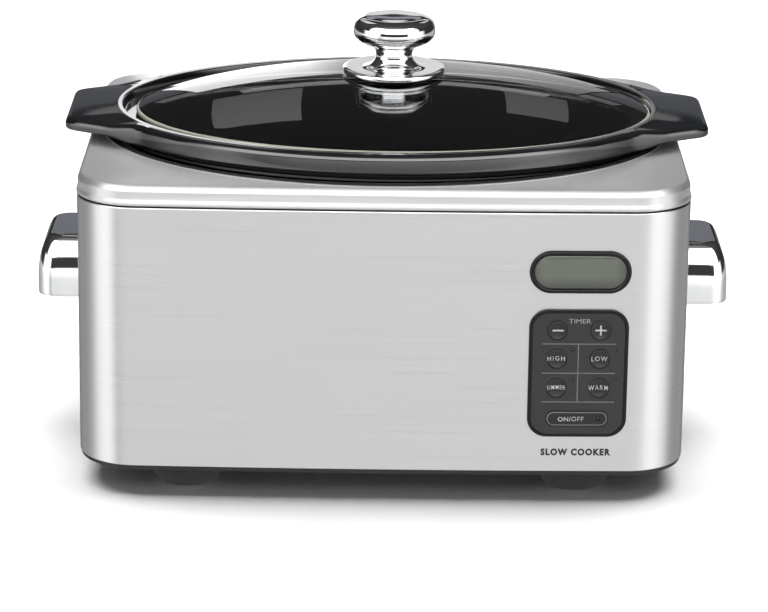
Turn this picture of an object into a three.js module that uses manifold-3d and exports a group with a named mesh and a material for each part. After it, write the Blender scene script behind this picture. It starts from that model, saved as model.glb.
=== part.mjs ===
// Oval slow cooker: a brushed steel housing with a digital control panel, a heated well,
// a lift-out stoneware crock and a domed glass lid.
// Millimetres, +Z up. The origin is the centre of the footprint on the worktop, and -Y is the front.
import * as THREE from 'three';
import { mergeVertices } from 'three/addons/utils/BufferGeometryUtils.js';
import Module from 'manifold-3d';

const wasm = await Module();
wasm.setup();

// ---------------------------------------------------------------- driving dimensions

const GAP = 0.3; // clearance between pieces that touch

// Housing: a rounded rectangle whose long sides bow outwards
const BODY_WIDTH = 395;
const BODY_DEPTH = 312;
const BODY_CORNER_R = 38;
const BODY_BOW = 3.5;
const STEEL_T = 1;
const BASE_Z = 16.5;
const WRAP_Z = 20;
const WRAP_TOP_Z = 193.6;
const DECK_Z = WRAP_TOP_Z + GAP;
const DECK_TOP_Z = 207.8;
const DECK_RECESS_Z = 205.8; // floor of the shallow step round the opening
const DECK_OVERHANG = 0.4;
const DECK_FILLET = 4;
const BASE_T = 3;
const BASE_RIM_TOP_Z = 30;

// Opening in the deck, and the well that hangs below it: semi-axes along X and Y
const OPENING = [180.4, 132.2];
const OPENING_BEAD = [188.6, 149.3];
const OPENING_LIP = 6.8;
const WELL_FLANGE = [193, 148];
const WELL_TOP = [187.5, 141.5];
const WELL_WALL = [177, 125.5];
const WELL_FLOOR_Z = 54.6;
const WELL_FLOOR_R = 12;

// Crock
const CROCK_X = 1.6;
const CROCK_RIM = [187.7, 137.8];
const CROCK_RIM_TOP_Z = 224.8;
const CROCK_SEAT_EDGE = [178.4, 129.4];
const CROCK_LEDGE_Z = 217.9;
const CROCK_MOUTH = [163.5, 111.5];
const CROCK_WALL = 7;
const CROCK_TAPER = 11;
const CROCK_BASE_Z = 60;
const CROCK_FLOOR_Z = 69;
const GRIP_TIP_X = 213.2;
const GRIP_TIP_HALF = 41.7;
const GRIP_ROOT_X = 176;
const GRIP_ROOT_HALF = 62;
const GRIP_Z = 213.6;
const GRIP_TOP_Z = 222.4;

// Lid and knob
const LID_X = 5.8;
const LID_EDGE = [172.6, 118];
const LID_EDGE_Z = CROCK_LEDGE_Z + GAP;
const LID_TOP_Z = 246.9;
const LID_GLASS_T = 4.2;
const LID_DOME = 0.7; // share of a half-sphere that the dome's section spans
const LID_HOLE_R = 5;
const KNOB_FLANGE_R = 34.2;
const KNOB_WAIST_R = 12.15;
const KNOB_CAP_R = 27.4;
const KNOB_TOP_Z = 285;
const KNOB_BASE_Z = 248.6;
const KNOB_SCREW_R = 3;

// Side handles
const GRAB_X = BODY_WIDTH / 2;
const GRAB_REACH = 232.3;
const GRAB_HALF_DEPTH = 38;
const GRAB_CORNER_R = 12;
const GRAB_BOTTOM_Z = 97.5;
const GRAB_TOP_Z = 138;
const GRAB_FILLET = 6;
const GRAB_WALL = 4;
const GRAB_ROOT_T = 6;
const GRAB_PLATE_T = 1.5;
const GRAB_SCREW_Y = 24;
const GRAB_SCREW_Z = 118;

// Feet
const FOOT_X = 127;
const FOOT_Y = 118;
const FOOT_TOP_R = 24.6;
const FOOT_FLAT_R = 16;
const FOOT_SCREW_R = 2;

// Control cluster: its frame lies on the front face, X to the right and -Y out of the steel
const PANEL_X = 125.7;
const PANEL_WIDTH = 64;
const PANEL_Z = [44, 130];
const PANEL_CORNER_R = 12.5;
const PANEL_PROUD = 1.6;
const COLUMN = 13.8;
const ROW_TIMER_Z = 116;
const ROW_HEAT_Z = 97;
const ROW_KEEP_Z = 77.3;
const ROW_POWER_Z = 56.6;
const KEY_R = 6.5;
const KEY_BACK_Y = 3.4;
const POWER_KEY_WIDTH = 40;
const POWER_KEY_HEIGHT = 10.2;
const LED_R = 1.4;
const LED_RISE = 6.6;
const LED_INSET = 9.8;
const DISPLAY_Z = 154.7;
const DISPLAY_SIZE = [65.2, 28.2];
const DISPLAY_WINDOW = [59, 21.6];
const BOX_HALF_WIDTH = 36;
const BOX_Z = [38, 174];
const BOX_Y = [2.2, 29];
const BOX_WALL = 1.8;
const BOARD_T = 1.6;

// Cord gland at the rear
const GLAND_X = -110;
const GLAND_Z = 44;
const GLAND_HOLE_R = 6.3;

// Facets
const OVAL_STEPS = 40;
const INNER_OVAL_STEPS = 28;
const CORNER_STEPS = 5;
const LONG_SIDE_STEPS = 8;
const SHORT_SIDE_STEPS = 4;
const ROUND_STEPS = 16;
const SCREW_STEPS = 8;

// ---------------------------------------------------------------- solids

// Three.js geometry with merged vertices, no collapsed triangles and its faces pointing out
function closed(geometry) {
  const bare = geometry.clone();
  for (const name of Object.keys(bare.attributes)) {
    if (name !== 'position') bare.deleteAttribute(name);
  }
  const merged = mergeVertices(bare, 1e-4);
  const position = merged.getAttribute('position');
  const corner = (i) => new THREE.Vector3().fromBufferAttribute(position, i);
  const kept = [];
  let volume = 0;
  for (let i = 0; i < merged.index.count; i += 3) {
    const [a, b, c] = [0, 1, 2].map((k) => merged.index.getX(i + k));
    if (a === b || b === c || c === a) continue;
    kept.push([a, b, c]);
    volume += corner(a).dot(corner(b).cross(corner(c)));
  }
  merged.setIndex(kept.map((t) => (volume < 0 ? t.reverse() : t)).flat());
  return merged;
}

function toManifold(geometry) {
  const solid = closed(geometry);
  return new wasm.Manifold(new wasm.Mesh({
    numProp: 3,
    vertProperties: new Float32Array(solid.getAttribute('position').array),
    triVerts: new Uint32Array(solid.index.array),
  }));
}

function fromManifold(manifold) {
  const mesh = manifold.getMesh();
  const geometry = new THREE.BufferGeometry();
  geometry.setAttribute('position', new THREE.BufferAttribute(mesh.vertProperties, 3));
  geometry.setIndex(new THREE.BufferAttribute(mesh.triVerts, 1));
  return geometry;
}

function join(first, ...others) {
  return fromManifold(others.reduce((sum, g) => sum.add(toManifold(g)), toManifold(first)));
}

function cut(base, ...tools) {
  return fromManifold(tools.reduce((rest, g) => rest.subtract(toManifold(g)), toManifold(base)));
}

// Skin through equal rings of points. Its two ends are filled, or joined when the section closes.
function skin(rings, sectionCloses = false) {
  const count = rings[0].length;
  const points = rings.flat();
  const index = [];
  const bands = sectionCloses ? rings.length : rings.length - 1;
  for (let r = 0; r < bands; r += 1) {
    const next = (r + 1) % rings.length;
    for (let i = 0; i < count; i += 1) {
      const j = (i + 1) % count;
      const [a, b, c, d] = [r * count + i, r * count + j, next * count + j, next * count + i];
      index.push(a, b, c, a, c, d);
    }
  }
  if (!sectionCloses) {
    for (const [start, flip] of [[0, true], [(rings.length - 1) * count, false]]) {
      const centre = new THREE.Vector3();
      for (let i = 0; i < count; i += 1) centre.addScaledVector(points[start + i], 1 / count);
      points.push(centre);
      for (let i = 0; i < count; i += 1) {
        const j = (i + 1) % count;
        index.push(points.length - 1, start + (flip ? j : i), start + (flip ? i : j));
      }
    }
  }
  const geometry = new THREE.BufferGeometry().setFromPoints(points);
  geometry.setIndex(index);
  return geometry;
}

// Ring of an oval with semi-axes a and b at height z
function ovalRing(a, b, z, x, steps) {
  return Array.from({ length: steps }, (_, i) => {
    const t = (2 * Math.PI * i) / steps;
    return new THREE.Vector3(x + a * Math.cos(t), b * Math.sin(t), z);
  });
}

function ovalSkin(sections, { x = 0, sectionCloses = false, steps = OVAL_STEPS } = {}) {
  return skin(sections.map(([a, b, z]) => ovalRing(a, b, z, x, steps)), sectionCloses);
}

// Outline of the housing, grown by offset: arcs at the corners, and long sides bowed outwards
function housingRing(offset, z) {
  const halfX = BODY_WIDTH / 2 + offset;
  const halfY = BODY_DEPTH / 2 - BODY_BOW + offset;
  const r = BODY_CORNER_R + offset;
  const ring = [];
  const corners = [[1, -1], [1, 1], [-1, 1], [-1, -1]];
  corners.forEach(([sx, sy], k) => {
    const start = (k - 1) * (Math.PI / 2);
    for (let i = 0; i <= CORNER_STEPS; i += 1) {
      const t = start + (i / CORNER_STEPS) * (Math.PI / 2);
      ring.push([sx * (halfX - r) + r * Math.cos(t), sy * (halfY - r) + r * Math.sin(t)]);
    }
    const long = k % 2 === 1;
    const steps = long ? LONG_SIDE_STEPS : SHORT_SIDE_STEPS;
    for (let i = 1; i < steps; i += 1) {
      const along = 1 - (2 * i) / steps;
      ring.push(long ? [sx * (halfX - r) * along, sy * halfY] : [sx * halfX, sy * (halfY - r) * along]);
    }
  });
  return ring.map(([x, y]) => {
    const bow = 1 + (BODY_BOW / halfY) * (1 - (x / halfX) ** 2);
    return new THREE.Vector3(x, y * bow, z);
  });
}

// Oval of semi-axes a and b, with its points in the same directions as the housing outline's
function openingRing(a, b, z) {
  return housingRing(0, z).map((p) => {
    const t = Math.atan2(p.y, p.x);
    const reach = 1 / Math.hypot(Math.cos(t) / a, Math.sin(t) / b);
    return new THREE.Vector3(reach * Math.cos(t), reach * Math.sin(t), z);
  });
}

// Solid of revolution about +Z from [radius, height] points
function turned(profile, steps = ROUND_STEPS) {
  const points = profile.map(([r, z]) => new THREE.Vector2(r, z));
  return new THREE.LatheGeometry(points, steps).rotateX(Math.PI / 2);
}

// The same about the Y axis, from [radius, y] points
function turnedAlongY(profile, steps = ROUND_STEPS) {
  return new THREE.LatheGeometry(profile.map(([r, y]) => new THREE.Vector2(r, y)), steps);
}

// Points of a quarter arc in a [radius, height] profile, from angle t0 to t1 in degrees
function arc(centreR, centreZ, radius, t0, t1, steps, stretchZ = 1) {
  return Array.from({ length: steps + 1 }, (_, i) => {
    const t = THREE.MathUtils.degToRad(t0 + ((t1 - t0) * i) / steps);
    return [centreR + radius * Math.cos(t), centreZ + stretchZ * radius * Math.sin(t)];
  });
}

function block(x0, x1, y0, y1, z0, z1) {
  const geometry = new THREE.BoxGeometry(x1 - x0, y1 - y0, z1 - z0);
  return geometry.translate((x0 + x1) / 2, (y0 + y1) / 2, (z0 + z1) / 2);
}

function rod(radius, from, to, steps = 12) {
  const start = new THREE.Vector3(...from);
  const run = new THREE.Vector3(...to).sub(start);
  const geometry = new THREE.CylinderGeometry(radius, radius, run.length(), steps);
  geometry.translate(0, run.length() / 2, 0);
  geometry.applyQuaternion(new THREE.Quaternion().setFromUnitVectors(
    new THREE.Vector3(0, 1, 0), run.clone().normalize()));
  return geometry.translate(...from);
}

// Rounded rectangle centred on (x, y)
function roundedShape(width, height, r, x = 0, y = 0) {
  const shape = new THREE.Shape();
  const [w, h] = [width / 2 - r, height / 2 - r];
  shape.absarc(x + w, y - h, r, -Math.PI / 2, 0);
  shape.absarc(x + w, y + h, r, 0, Math.PI / 2);
  shape.absarc(x - w, y + h, r, Math.PI / 2, Math.PI);
  shape.absarc(x - w, y - h, r, Math.PI, 1.5 * Math.PI);
  shape.closePath();
  return shape;
}

// Shape drawn in X and Z, pulled along Y from y0 to y1
function slab(shape, y0, y1, curveSegments = 5) {
  const options = { depth: y1 - y0, bevelEnabled: false, curveSegments };
  return new THREE.ExtrudeGeometry(shape, options).rotateX(Math.PI / 2).translate(0, y1, 0);
}

// Shape drawn in X and Y, pulled up from z0 to z1
function plate(shape, z0, z1, curveSegments = 5) {
  const options = { depth: z1 - z0, bevelEnabled: false, curveSegments };
  return new THREE.ExtrudeGeometry(shape, options).translate(0, 0, z0);
}

function wire(points, radius, steps) {
  const path = new THREE.CatmullRomCurve3(points.map((p) => new THREE.Vector3(...p)));
  const section = new THREE.Shape();
  section.absarc(0, 0, radius, 0, 2 * Math.PI);
  return new THREE.ExtrudeGeometry(section, { steps, curveSegments: 3, extrudePath: path });
}

// ---------------------------------------------------------------- materials and assembly

const STEEL = { color: 0xc4c4c4, roughness: 0.35, metalness: 1 };
const CHROME = { color: 0xe6e6e8, roughness: 0.06, metalness: 1 };
const ZINC = { color: 0xa9adb0, roughness: 0.4, metalness: 1 };
const GLAZE = { color: 0x0b0c0d, roughness: 0.12, metalness: 0 };
const BLACK_GLOSS = { color: 0x101214, roughness: 0.2, metalness: 0 };
const CHARCOAL = { color: 0x3a3b3d, roughness: 0.5, metalness: 0 };
const RUBBER = { color: 0x141414, roughness: 0.85, metalness: 0 };
const GLASS = { color: 0xe8f0ee, roughness: 0.04, metalness: 0, transparent: true, opacity: 0.35 };
const BOARD_GREEN = { color: 0x1f5a38, roughness: 0.6, metalness: 0 };
const MICA = { color: 0xb9a98a, roughness: 0.8, metalness: 0 };
const LCD_GREY = { color: 0x70766a, roughness: 0.3, metalness: 0 };
const LENS_RED = { color: 0x6a2a26, roughness: 0.3, metalness: 0 };
const WIRE_WHITE = { color: 0xd8d6cf, roughness: 0.7, metalness: 0 };

const cooker = new THREE.Group();

// Frame of the control cluster and of the gland: turned to follow the bowed side at x
function sideFrame(x, side) {
  const slope = (BODY_BOW * 2 * x) / (BODY_WIDTH / 2) ** 2;
  const reach = BODY_DEPTH / 2 - BODY_BOW * (x / (BODY_WIDTH / 2)) ** 2;
  const frame = new THREE.Group();
  frame.position.set(x, side * reach, 0);
  frame.rotation.z = -side * slope + (side > 0 ? Math.PI : 0);
  frame.updateMatrix();
  return frame;
}

const controls = sideFrame(PANEL_X, -1);
const rear = sideFrame(GLAND_X, 1);
cooker.add(controls, rear);

function add(name, geometry, look, parent = cooker) {
  const mesh = new THREE.Mesh(closed(geometry), new THREE.MeshStandardMaterial(look));
  mesh.name = name;
  parent.add(mesh);
}

// ---------------------------------------------------------------- steel housing

function bodyWrap() {
  const [windowWidth, windowHeight] = DISPLAY_SIZE;
  const band = skin([
    housingRing(0, WRAP_Z),
    housingRing(0, WRAP_TOP_Z),
    housingRing(-STEEL_T, WRAP_TOP_Z),
    housingRing(-STEEL_T, WRAP_Z),
  ], true);
  const panelHeight = PANEL_Z[1] - PANEL_Z[0];
  const panelHole = roundedShape(PANEL_WIDTH - 4, panelHeight - 4, PANEL_CORNER_R - 2, 0,
    (PANEL_Z[0] + PANEL_Z[1]) / 2);
  const displayHole = roundedShape(windowWidth - 3, windowHeight - 3, (windowHeight - 3) / 2 - 0.01,
    0, DISPLAY_Z);
  const holes = [panelHole, displayHole].map(
    (shape) => slab(shape, -6, 6).applyMatrix4(controls.matrix));
  holes.push(rod(GLAND_HOLE_R, [0, -6, GLAND_Z], [0, 6, GLAND_Z], 16).applyMatrix4(rear.matrix));
  for (const side of [-1, 1]) {
    for (const y of [-GRAB_SCREW_Y, GRAB_SCREW_Y]) {
      const [inner, outer] = [side * (GRAB_X - 5), side * (GRAB_X + 5)];
      holes.push(rod(2.3, [inner, y, GRAB_SCREW_Z], [outer, y, GRAB_SCREW_Z], 10));
    }
  }
  add('body_wrap', cut(band, ...holes), STEEL);
}

function topDeck() {
  const [a, b] = OPENING;
  const rings = [housingRing(DECK_OVERHANG, DECK_Z)];
  const filletZ = DECK_TOP_Z - DECK_FILLET;
  const filletRings = (r) => [0, 22.5, 45, 67.5, 90].map((degrees) => {
    const t = THREE.MathUtils.degToRad(degrees);
    const inset = DECK_OVERHANG - (DECK_FILLET - r) - r * (1 - Math.cos(t));
    return housingRing(inset, filletZ + r * Math.sin(t));
  });
  rings.push(...filletRings(DECK_FILLET));
  // A low bead and a step down run round the opening, outside the crock's foot ring
  const bead = [[1.1, 0], [0.6, 0.5], [-0.2, 0.5], [-0.7, 0]];
  rings.push(...bead.map(([out, rise]) => openingRing(OPENING_BEAD[0] + out, OPENING_BEAD[1] + out, DECK_TOP_Z + rise)));
  const stepRing = (inset, z) => openingRing(OPENING_BEAD[0] - inset, OPENING_BEAD[1] - inset, z);
  rings.push(stepRing(1.1, DECK_TOP_Z - 0.3));
  rings.push(stepRing(1.7, DECK_RECESS_Z));
  rings.push(openingRing(a, b, DECK_RECESS_Z));
  rings.push(openingRing(a - 0.8, b - 0.8, DECK_RECESS_Z - 0.8));
  rings.push(openingRing(a - 0.8, b - 0.8, DECK_RECESS_Z - OPENING_LIP));
  rings.push(openingRing(a + 0.2, b + 0.2, DECK_RECESS_Z - OPENING_LIP));
  rings.push(openingRing(a + 0.2, b + 0.2, DECK_RECESS_Z - STEEL_T));
  rings.push(stepRing(0.7, DECK_RECESS_Z - STEEL_T));
  rings.push(stepRing(0.1, DECK_TOP_Z - STEEL_T));
  rings.push(...filletRings(DECK_FILLET - STEEL_T).reverse());
  rings.push(housingRing(DECK_OVERHANG - STEEL_T, DECK_Z));
  add('top_deck', skin(rings, true), STEEL);
}

function baseTray() {
  const pan = skin([
    housingRing(-2.6, BASE_Z),
    housingRing(-1.1, BASE_Z + 0.7),
    housingRing(-0.7, BASE_Z + 1.8),
    housingRing(-0.7, WRAP_Z - GAP),
    housingRing(-STEEL_T - 0.4, WRAP_Z - GAP),
    housingRing(-STEEL_T - 0.4, BASE_RIM_TOP_Z),
    housingRing(-STEEL_T - 2.4, BASE_RIM_TOP_Z),
    housingRing(-STEEL_T - 2.4, BASE_Z + BASE_T),
  ]);
  const bosses = footPlaces.map(([x, y]) => rod(6, [x, y, BASE_Z + 1], [x, y, 29]));
  const holes = footPlaces.map(([x, y]) => rod(2.4, [x, y, BASE_Z - 1], [x, y, 27.6], 10));
  holes.push(rod(3.6, [0, 0, BASE_Z - 1], [0, 0, BASE_Z + BASE_T + 1], 12));
  for (const side of [-1, 1]) {
    for (let i = 0; i < 4; i += 1) {
      const slot = roundedShape(5, 34, 2, side * (36 + 14 * i), 0);
      holes.push(plate(slot, BASE_Z - 1, BASE_Z + BASE_T + 1, 1));
    }
  }
  add('base_tray', cut(join(pan, ...bosses), ...holes), BLACK_GLOSS);
}

const footPlaces = [[-FOOT_X, -FOOT_Y], [FOOT_X, -FOOT_Y], [-FOOT_X, FOOT_Y], [FOOT_X, FOOT_Y]];
const footNames = ['front_left', 'front_right', 'rear_left', 'rear_right'];

function feet() {
  const top = BASE_Z - GAP;
  const bulge = arc(FOOT_FLAT_R - 1, top - 1.5, FOOT_TOP_R - FOOT_FLAT_R + 1, -78, 0, 3, 1.53);
  footPlaces.forEach(([x, y], i) => {
    const foot = turned([
      [4.8, 0],
      [FOOT_FLAT_R, 0],
      ...bulge,
      [FOOT_TOP_R, top],
      [2.4, top],
      [2.4, 8],
      [4.8, 8],
      [4.8, 0],
    ]);
    add(`foot_${footNames[i]}`, foot.translate(x, y, 0), RUBBER);
    const screw = turned([
      [0, 4.6], [3.6, 4.6], [4.2, 5.4], [4.2, 7.7], [FOOT_SCREW_R, 7.7], [FOOT_SCREW_R, 26.6], [0, 27.2],
    ], SCREW_STEPS);
    add(`foot_screw_${footNames[i]}`, screw.translate(x, y, 0), ZINC);
  });
}

// ---------------------------------------------------------------- side handles

// Outline of a grab handle seen from above: square at the housing, rounded outside
function grabRing(side, inset, x0, z, cornerR) {
  const x1 = GRAB_REACH - inset;
  const half = GRAB_HALF_DEPTH - inset;
  const ring = [[x0, -half]];
  for (const [sy, start] of [[-1, -90], [1, 0]]) {
    const centre = [x1 - cornerR, sy * (half - cornerR)];
    ring.push(...arc(centre[0], centre[1], cornerR, start, start + 90, 5));
  }
  ring.push([x0, half]);
  return ring.map(([x, y]) => new THREE.Vector3(side * x, y, z));
}

function grabHandle(side, name) {
  const rootX = GRAB_X + GRAB_PLATE_T + 2 * GAP;
  const rings = [grabRing(side, 1, rootX, GRAB_BOTTOM_Z, GRAB_CORNER_R - 1)];
  rings.push(grabRing(side, 0, rootX, GRAB_BOTTOM_Z + 1, GRAB_CORNER_R));
  for (const degrees of [0, 22.5, 45, 67.5, 90]) {
    const t = THREE.MathUtils.degToRad(degrees);
    const inset = GRAB_FILLET * (1 - Math.cos(t));
    const z = GRAB_TOP_Z - GRAB_FILLET * (1 - Math.sin(t));
    rings.push(grabRing(side, inset, rootX, z, GRAB_CORNER_R - inset));
  }
  const recessX = rootX + GRAB_ROOT_T;
  const recess = skin([
    grabRing(side, GRAB_WALL, recessX, GRAB_BOTTOM_Z - 1, GRAB_CORNER_R - GRAB_WALL),
    grabRing(side, GRAB_WALL, recessX, GRAB_TOP_Z - GRAB_FILLET, GRAB_CORNER_R - GRAB_WALL),
  ]);
  const screwHoles = [-GRAB_SCREW_Y, GRAB_SCREW_Y].map((y) => rod(2.3,
    [side * (rootX - 1), y, GRAB_SCREW_Z], [side * (rootX + GRAB_ROOT_T - 1), y, GRAB_SCREW_Z], 10));
  add(`side_handle_${name}`, cut(skin(rings), recess, ...screwHoles), CHROME);
}

function grabPlate(side, name) {
  const centreZ = (GRAB_BOTTOM_Z - 4.5 + GRAB_TOP_Z) / 2;
  const height = GRAB_TOP_Z - GRAB_BOTTOM_Z + 4.5;
  const outline = roundedShape(2 * GRAB_HALF_DEPTH + 1, height, 8, 0, centreZ);
  const flat = slab(outline, 0, GRAB_PLATE_T).rotateZ(Math.PI / 2);
  const x = side > 0 ? GRAB_X + GRAB_PLATE_T + GAP : -GRAB_X - GAP;
  const holes = [-GRAB_SCREW_Y, GRAB_SCREW_Y].map((y) => rod(2.3,
    [side * (GRAB_X - 2), y, GRAB_SCREW_Z], [side * (GRAB_X + 5), y, GRAB_SCREW_Z], 10));
  add(`handle_plate_${name}`, cut(flat.translate(x, 0, 0), ...holes), CHROME);
}

function grabScrews(side, name) {
  const inside = GRAB_X - STEEL_T - GAP;
  for (const [y, end] of [[-GRAB_SCREW_Y, 'front'], [GRAB_SCREW_Y, 'rear']]) {
    const screw = turned([
      [0, -3.2], [3, -3.2], [3.9, -2.2], [3.9, 0], [1.8, 0], [1.8, 7.6], [0, 8],
    ], SCREW_STEPS).rotateY((side * Math.PI) / 2);
    add(`handle_screw_${name}_${end}`, screw.translate(side * inside, y, GRAB_SCREW_Z), ZINC);
  }
}

function sideHandles() {
  for (const [side, name] of [[-1, 'left'], [1, 'right']]) {
    grabHandle(side, name);
    grabPlate(side, name);
    grabScrews(side, name);
  }
}

// ---------------------------------------------------------------- heating well and what hangs from it

function heatingWell() {
  const [fa, fb] = WELL_FLANGE;
  const [ta, tb] = WELL_TOP;
  const [wa, wb] = WELL_WALL;
  const flangeZ = DECK_RECESS_Z - STEEL_T - 0.4;
  const r = WELL_FLOOR_R;
  const floor = WELL_FLOOR_Z;
  const sections = [
    [wa - 1 - r, wb - 1 - r, floor],
    [wa - 1 - r * 0.29, wb - 1 - r * 0.29, floor + r * 0.29],
    [wa - 1, wb - 1, floor + r],
    [wa, wb, 187],
    [ta, tb, 196],
    [ta, tb, flangeZ],
    [fa, fb, flangeZ],
    [fa, fb, flangeZ - STEEL_T],
    [ta + 1, tb + 1, flangeZ - STEEL_T],
    [ta + 1, tb + 1, 195.6],
    [wa + 1, wb + 1, 186.6],
    [wa, wb, floor + r],
    [wa - r * 0.29, wb - r * 0.29, floor + r * 0.29 - 0.9],
    [wa - 1 - r, wb - 1 - r, floor - STEEL_T],
  ];
  const sensorHole = rod(6.2, [SENSOR_X, 0, floor - 3], [SENSOR_X, 0, floor + 3], 16);
  add('heating_well', cut(ovalSkin(sections, { steps: INNER_OVAL_STEPS }), sensorHole), { ...STEEL, roughness: 0.5 });
}

const SENSOR_X = 34;
const HEATER_Z = [72, 104];
const SHIELD_Z = [60, 150];

function heatingParts() {
  const [wa, wb] = WELL_WALL;
  const ring = (inner, thickness, [z0, z1]) => ovalSkin([
    [wa + inner, wb + inner, z0],
    [wa + inner + thickness, wb + inner + thickness, z0],
    [wa + inner + thickness, wb + inner + thickness, z1],
    [wa + inner, wb + inner, z1],
  ], { sectionCloses: true, steps: INNER_OVAL_STEPS });
  add('band_heater', ring(1.2, 2.4, HEATER_Z), MICA);
  add('heat_shield', ring(9.5, 0.8, SHIELD_Z), { ...STEEL, roughness: 0.55 });
  const underside = WELL_FLOOR_Z - STEEL_T;
  const nut = turned([
    [3.9, 45], [6.5, 45], [6.5, underside - GAP], [3.9, underside - GAP], [3.9, 45],
  ], 6);
  add('well_nut', nut, ZINC);
  const bolt = turned([
    [0, 12.4], [5, 12.4], [6.2, 13.6], [6.2, BASE_Z - GAP], [3, BASE_Z - GAP], [3, 52], [0, 52.6],
  ], 12);
  add('well_tie_bolt', bolt, ZINC);
  const sensor = turned([
    [0, 44], [4, 44], [4, 50], [5.4, 50], [5.4, 59], [4.6, 59.6], [0, 59.6],
  ], 16).translate(SENSOR_X, 0, 0);
  add('temperature_sensor', sensor, ZINC);
  const bracket = join(
    block(SENSOR_X - 20, SENSOR_X + 20, -7, 7, 48, 49.4),
    block(SENSOR_X - 20, SENSOR_X - 18.6, -7, 7, 48, underside - GAP),
    block(SENSOR_X + 18.6, SENSOR_X + 20, -7, 7, 48, underside - GAP),
  );
  const bracketHole = rod(4.4, [SENSOR_X, 0, 47], [SENSOR_X, 0, 51], 16);
  add('sensor_bracket', cut(bracket, bracketHole), ZINC);
  add('thermal_fuse', rod(2.2, [-52, 0, 51], [-38, 0, 51]), ZINC);
}

// ---------------------------------------------------------------- control cluster

function displayParts() {
  const [width, height] = DISPLAY_SIZE;
  const [innerWidth, innerHeight] = DISPLAY_WINDOW;
  const pill = (w, h) => roundedShape(w, h, h / 2 - 0.01, 0, DISPLAY_Z);
  const ring = join(
    slab(pill(width, height), -1.8, -GAP),
    slab(pill(width - 3.8, height - 3.8), -1, 3.6),
  );
  const opening = slab(pill(innerWidth + 0.8, innerHeight + 0.8), -3, 5);
  add('display_bezel', cut(ring, opening), BLACK_GLOSS, controls);
  add('display_lens', slab(pill(innerWidth, innerHeight), -1.3, 0.3), LCD_GREY, controls);
  const module = block(-27, 27, 3.9, 6.2, DISPLAY_Z - 9.2, DISPLAY_Z + 9.2);
  add('lcd_module', module, LCD_GREY, controls);
}

const keyPlaces = {
  timer_down: [-COLUMN, ROW_TIMER_Z],
  timer_up: [COLUMN, ROW_TIMER_Z],
  high: [-COLUMN, ROW_HEAT_Z],
  low: [COLUMN, ROW_HEAT_Z],
  simmer: [-COLUMN, ROW_KEEP_Z],
  warm: [COLUMN, ROW_KEEP_Z],
};
const ledPlaces = { power: [COLUMN, ROW_POWER_Z] };
for (const name of ['high', 'low', 'simmer', 'warm']) {
  const [x, z] = keyPlaces[name];
  ledPlaces[name] = [x + LED_INSET, z + LED_RISE];
}

function controlPanel() {
  const height = PANEL_Z[1] - PANEL_Z[0];
  const centreZ = (PANEL_Z[0] + PANEL_Z[1]) / 2;
  const outline = (inset) => roundedShape(PANEL_WIDTH - 2 * inset, height - 2 * inset,
    PANEL_CORNER_R - inset, 0, centreZ);
  const face = slab(outline(0), -PANEL_PROUD, -GAP);
  const collar = cut(slab(outline(2.4), -1, 3.6), slab(outline(4), -GAP, 5));
  const holes = Object.values(keyPlaces).map(([x, z]) => rod(KEY_R + 0.3, [x, -4, z], [x, 4, z], ROUND_STEPS));
  const powerHole = roundedShape(POWER_KEY_WIDTH + 0.6, POWER_KEY_HEIGHT + 0.6,
    POWER_KEY_HEIGHT / 2 + 0.29, 0, ROW_POWER_Z);
  holes.push(slab(powerHole, -4, 4));
  for (const [name, [x, z]] of Object.entries(ledPlaces)) {
    if (name !== 'power') holes.push(rod(LED_R + 0.3, [x, -4, z], [x, 4, z], 10));
  }
  add('control_panel', cut(join(face, collar), ...holes), CHARCOAL, controls);
}

// Round key: a dished face, a shoulder behind the panel and a stem on the switch
function keys() {
  const front = -PANEL_PROUD - 0.3;
  const key = turnedAlongY([
    [0, front + 0.9],
    [3, front + 0.7],
    [5.2, front + 0.1],
    [5.9, front],
    [KEY_R, front + 0.5],
    [KEY_R, 0.4],
    [KEY_R + 1.1, 0.4],
    [KEY_R + 1.1, 1.5],
    [2.6, 1.5],
    [2.6, KEY_BACK_Y],
    [0, KEY_BACK_Y],
  ]);
  for (const [name, [x, z]] of Object.entries(keyPlaces)) {
    add(`button_${name}`, key.clone().translate(x, 0, z), CHARCOAL, controls);
  }
  const pill = (grow, y0, y1) => slab(roundedShape(POWER_KEY_WIDTH + grow, POWER_KEY_HEIGHT + grow,
    (POWER_KEY_HEIGHT + grow) / 2 - 0.01, 0, ROW_POWER_Z), y0, y1);
  const powerKey = join(
    pill(0, front, 1),
    pill(2, 0.4, 1.5),
    rod(2.6, [0, 1, ROW_POWER_Z], [0, KEY_BACK_Y, ROW_POWER_Z]),
  );
  const [ledX, ledZ] = ledPlaces.power;
  const ledHole = rod(LED_R + 0.3, [ledX, -4, ledZ], [ledX, 4, ledZ], 10);
  add('button_power', cut(powerKey, ledHole), CHARCOAL, controls);
}

function leds() {
  for (const [name, [x, z]] of Object.entries(ledPlaces)) {
    const tip = -PANEL_PROUD - (name === 'power' ? -0.3 : 0.1);
    const lens = turnedAlongY([[0, tip], [LED_R * 0.7, tip + 0.15], [LED_R, tip + 0.6], [LED_R, 4], [0, 4]], 10);
    add(`led_${name}`, lens.translate(x, 0, z), LENS_RED, controls);
  }
}

function controlBox() {
  const [z0, z1] = BOX_Z;
  const [y0, y1] = BOX_Y;
  const w = BOX_HALF_WIDTH;
  const shell = block(-w, w, y0, y1, z0, z1);
  const inside = block(-w + BOX_WALL, w - BOX_WALL, y0 - 1, y1 - BOX_WALL, z0 + BOX_WALL, z1 - BOX_WALL);
  const wireHole = rod(4, [WIRE_HOLE_X, (y0 + y1) / 2, z0 - 2], [WIRE_HOLE_X, (y0 + y1) / 2, z0 + 4], 12);
  add('control_box', cut(shell, inside, wireHole), CHARCOAL, controls);
}

const WIRE_HOLE_X = -20;

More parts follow.
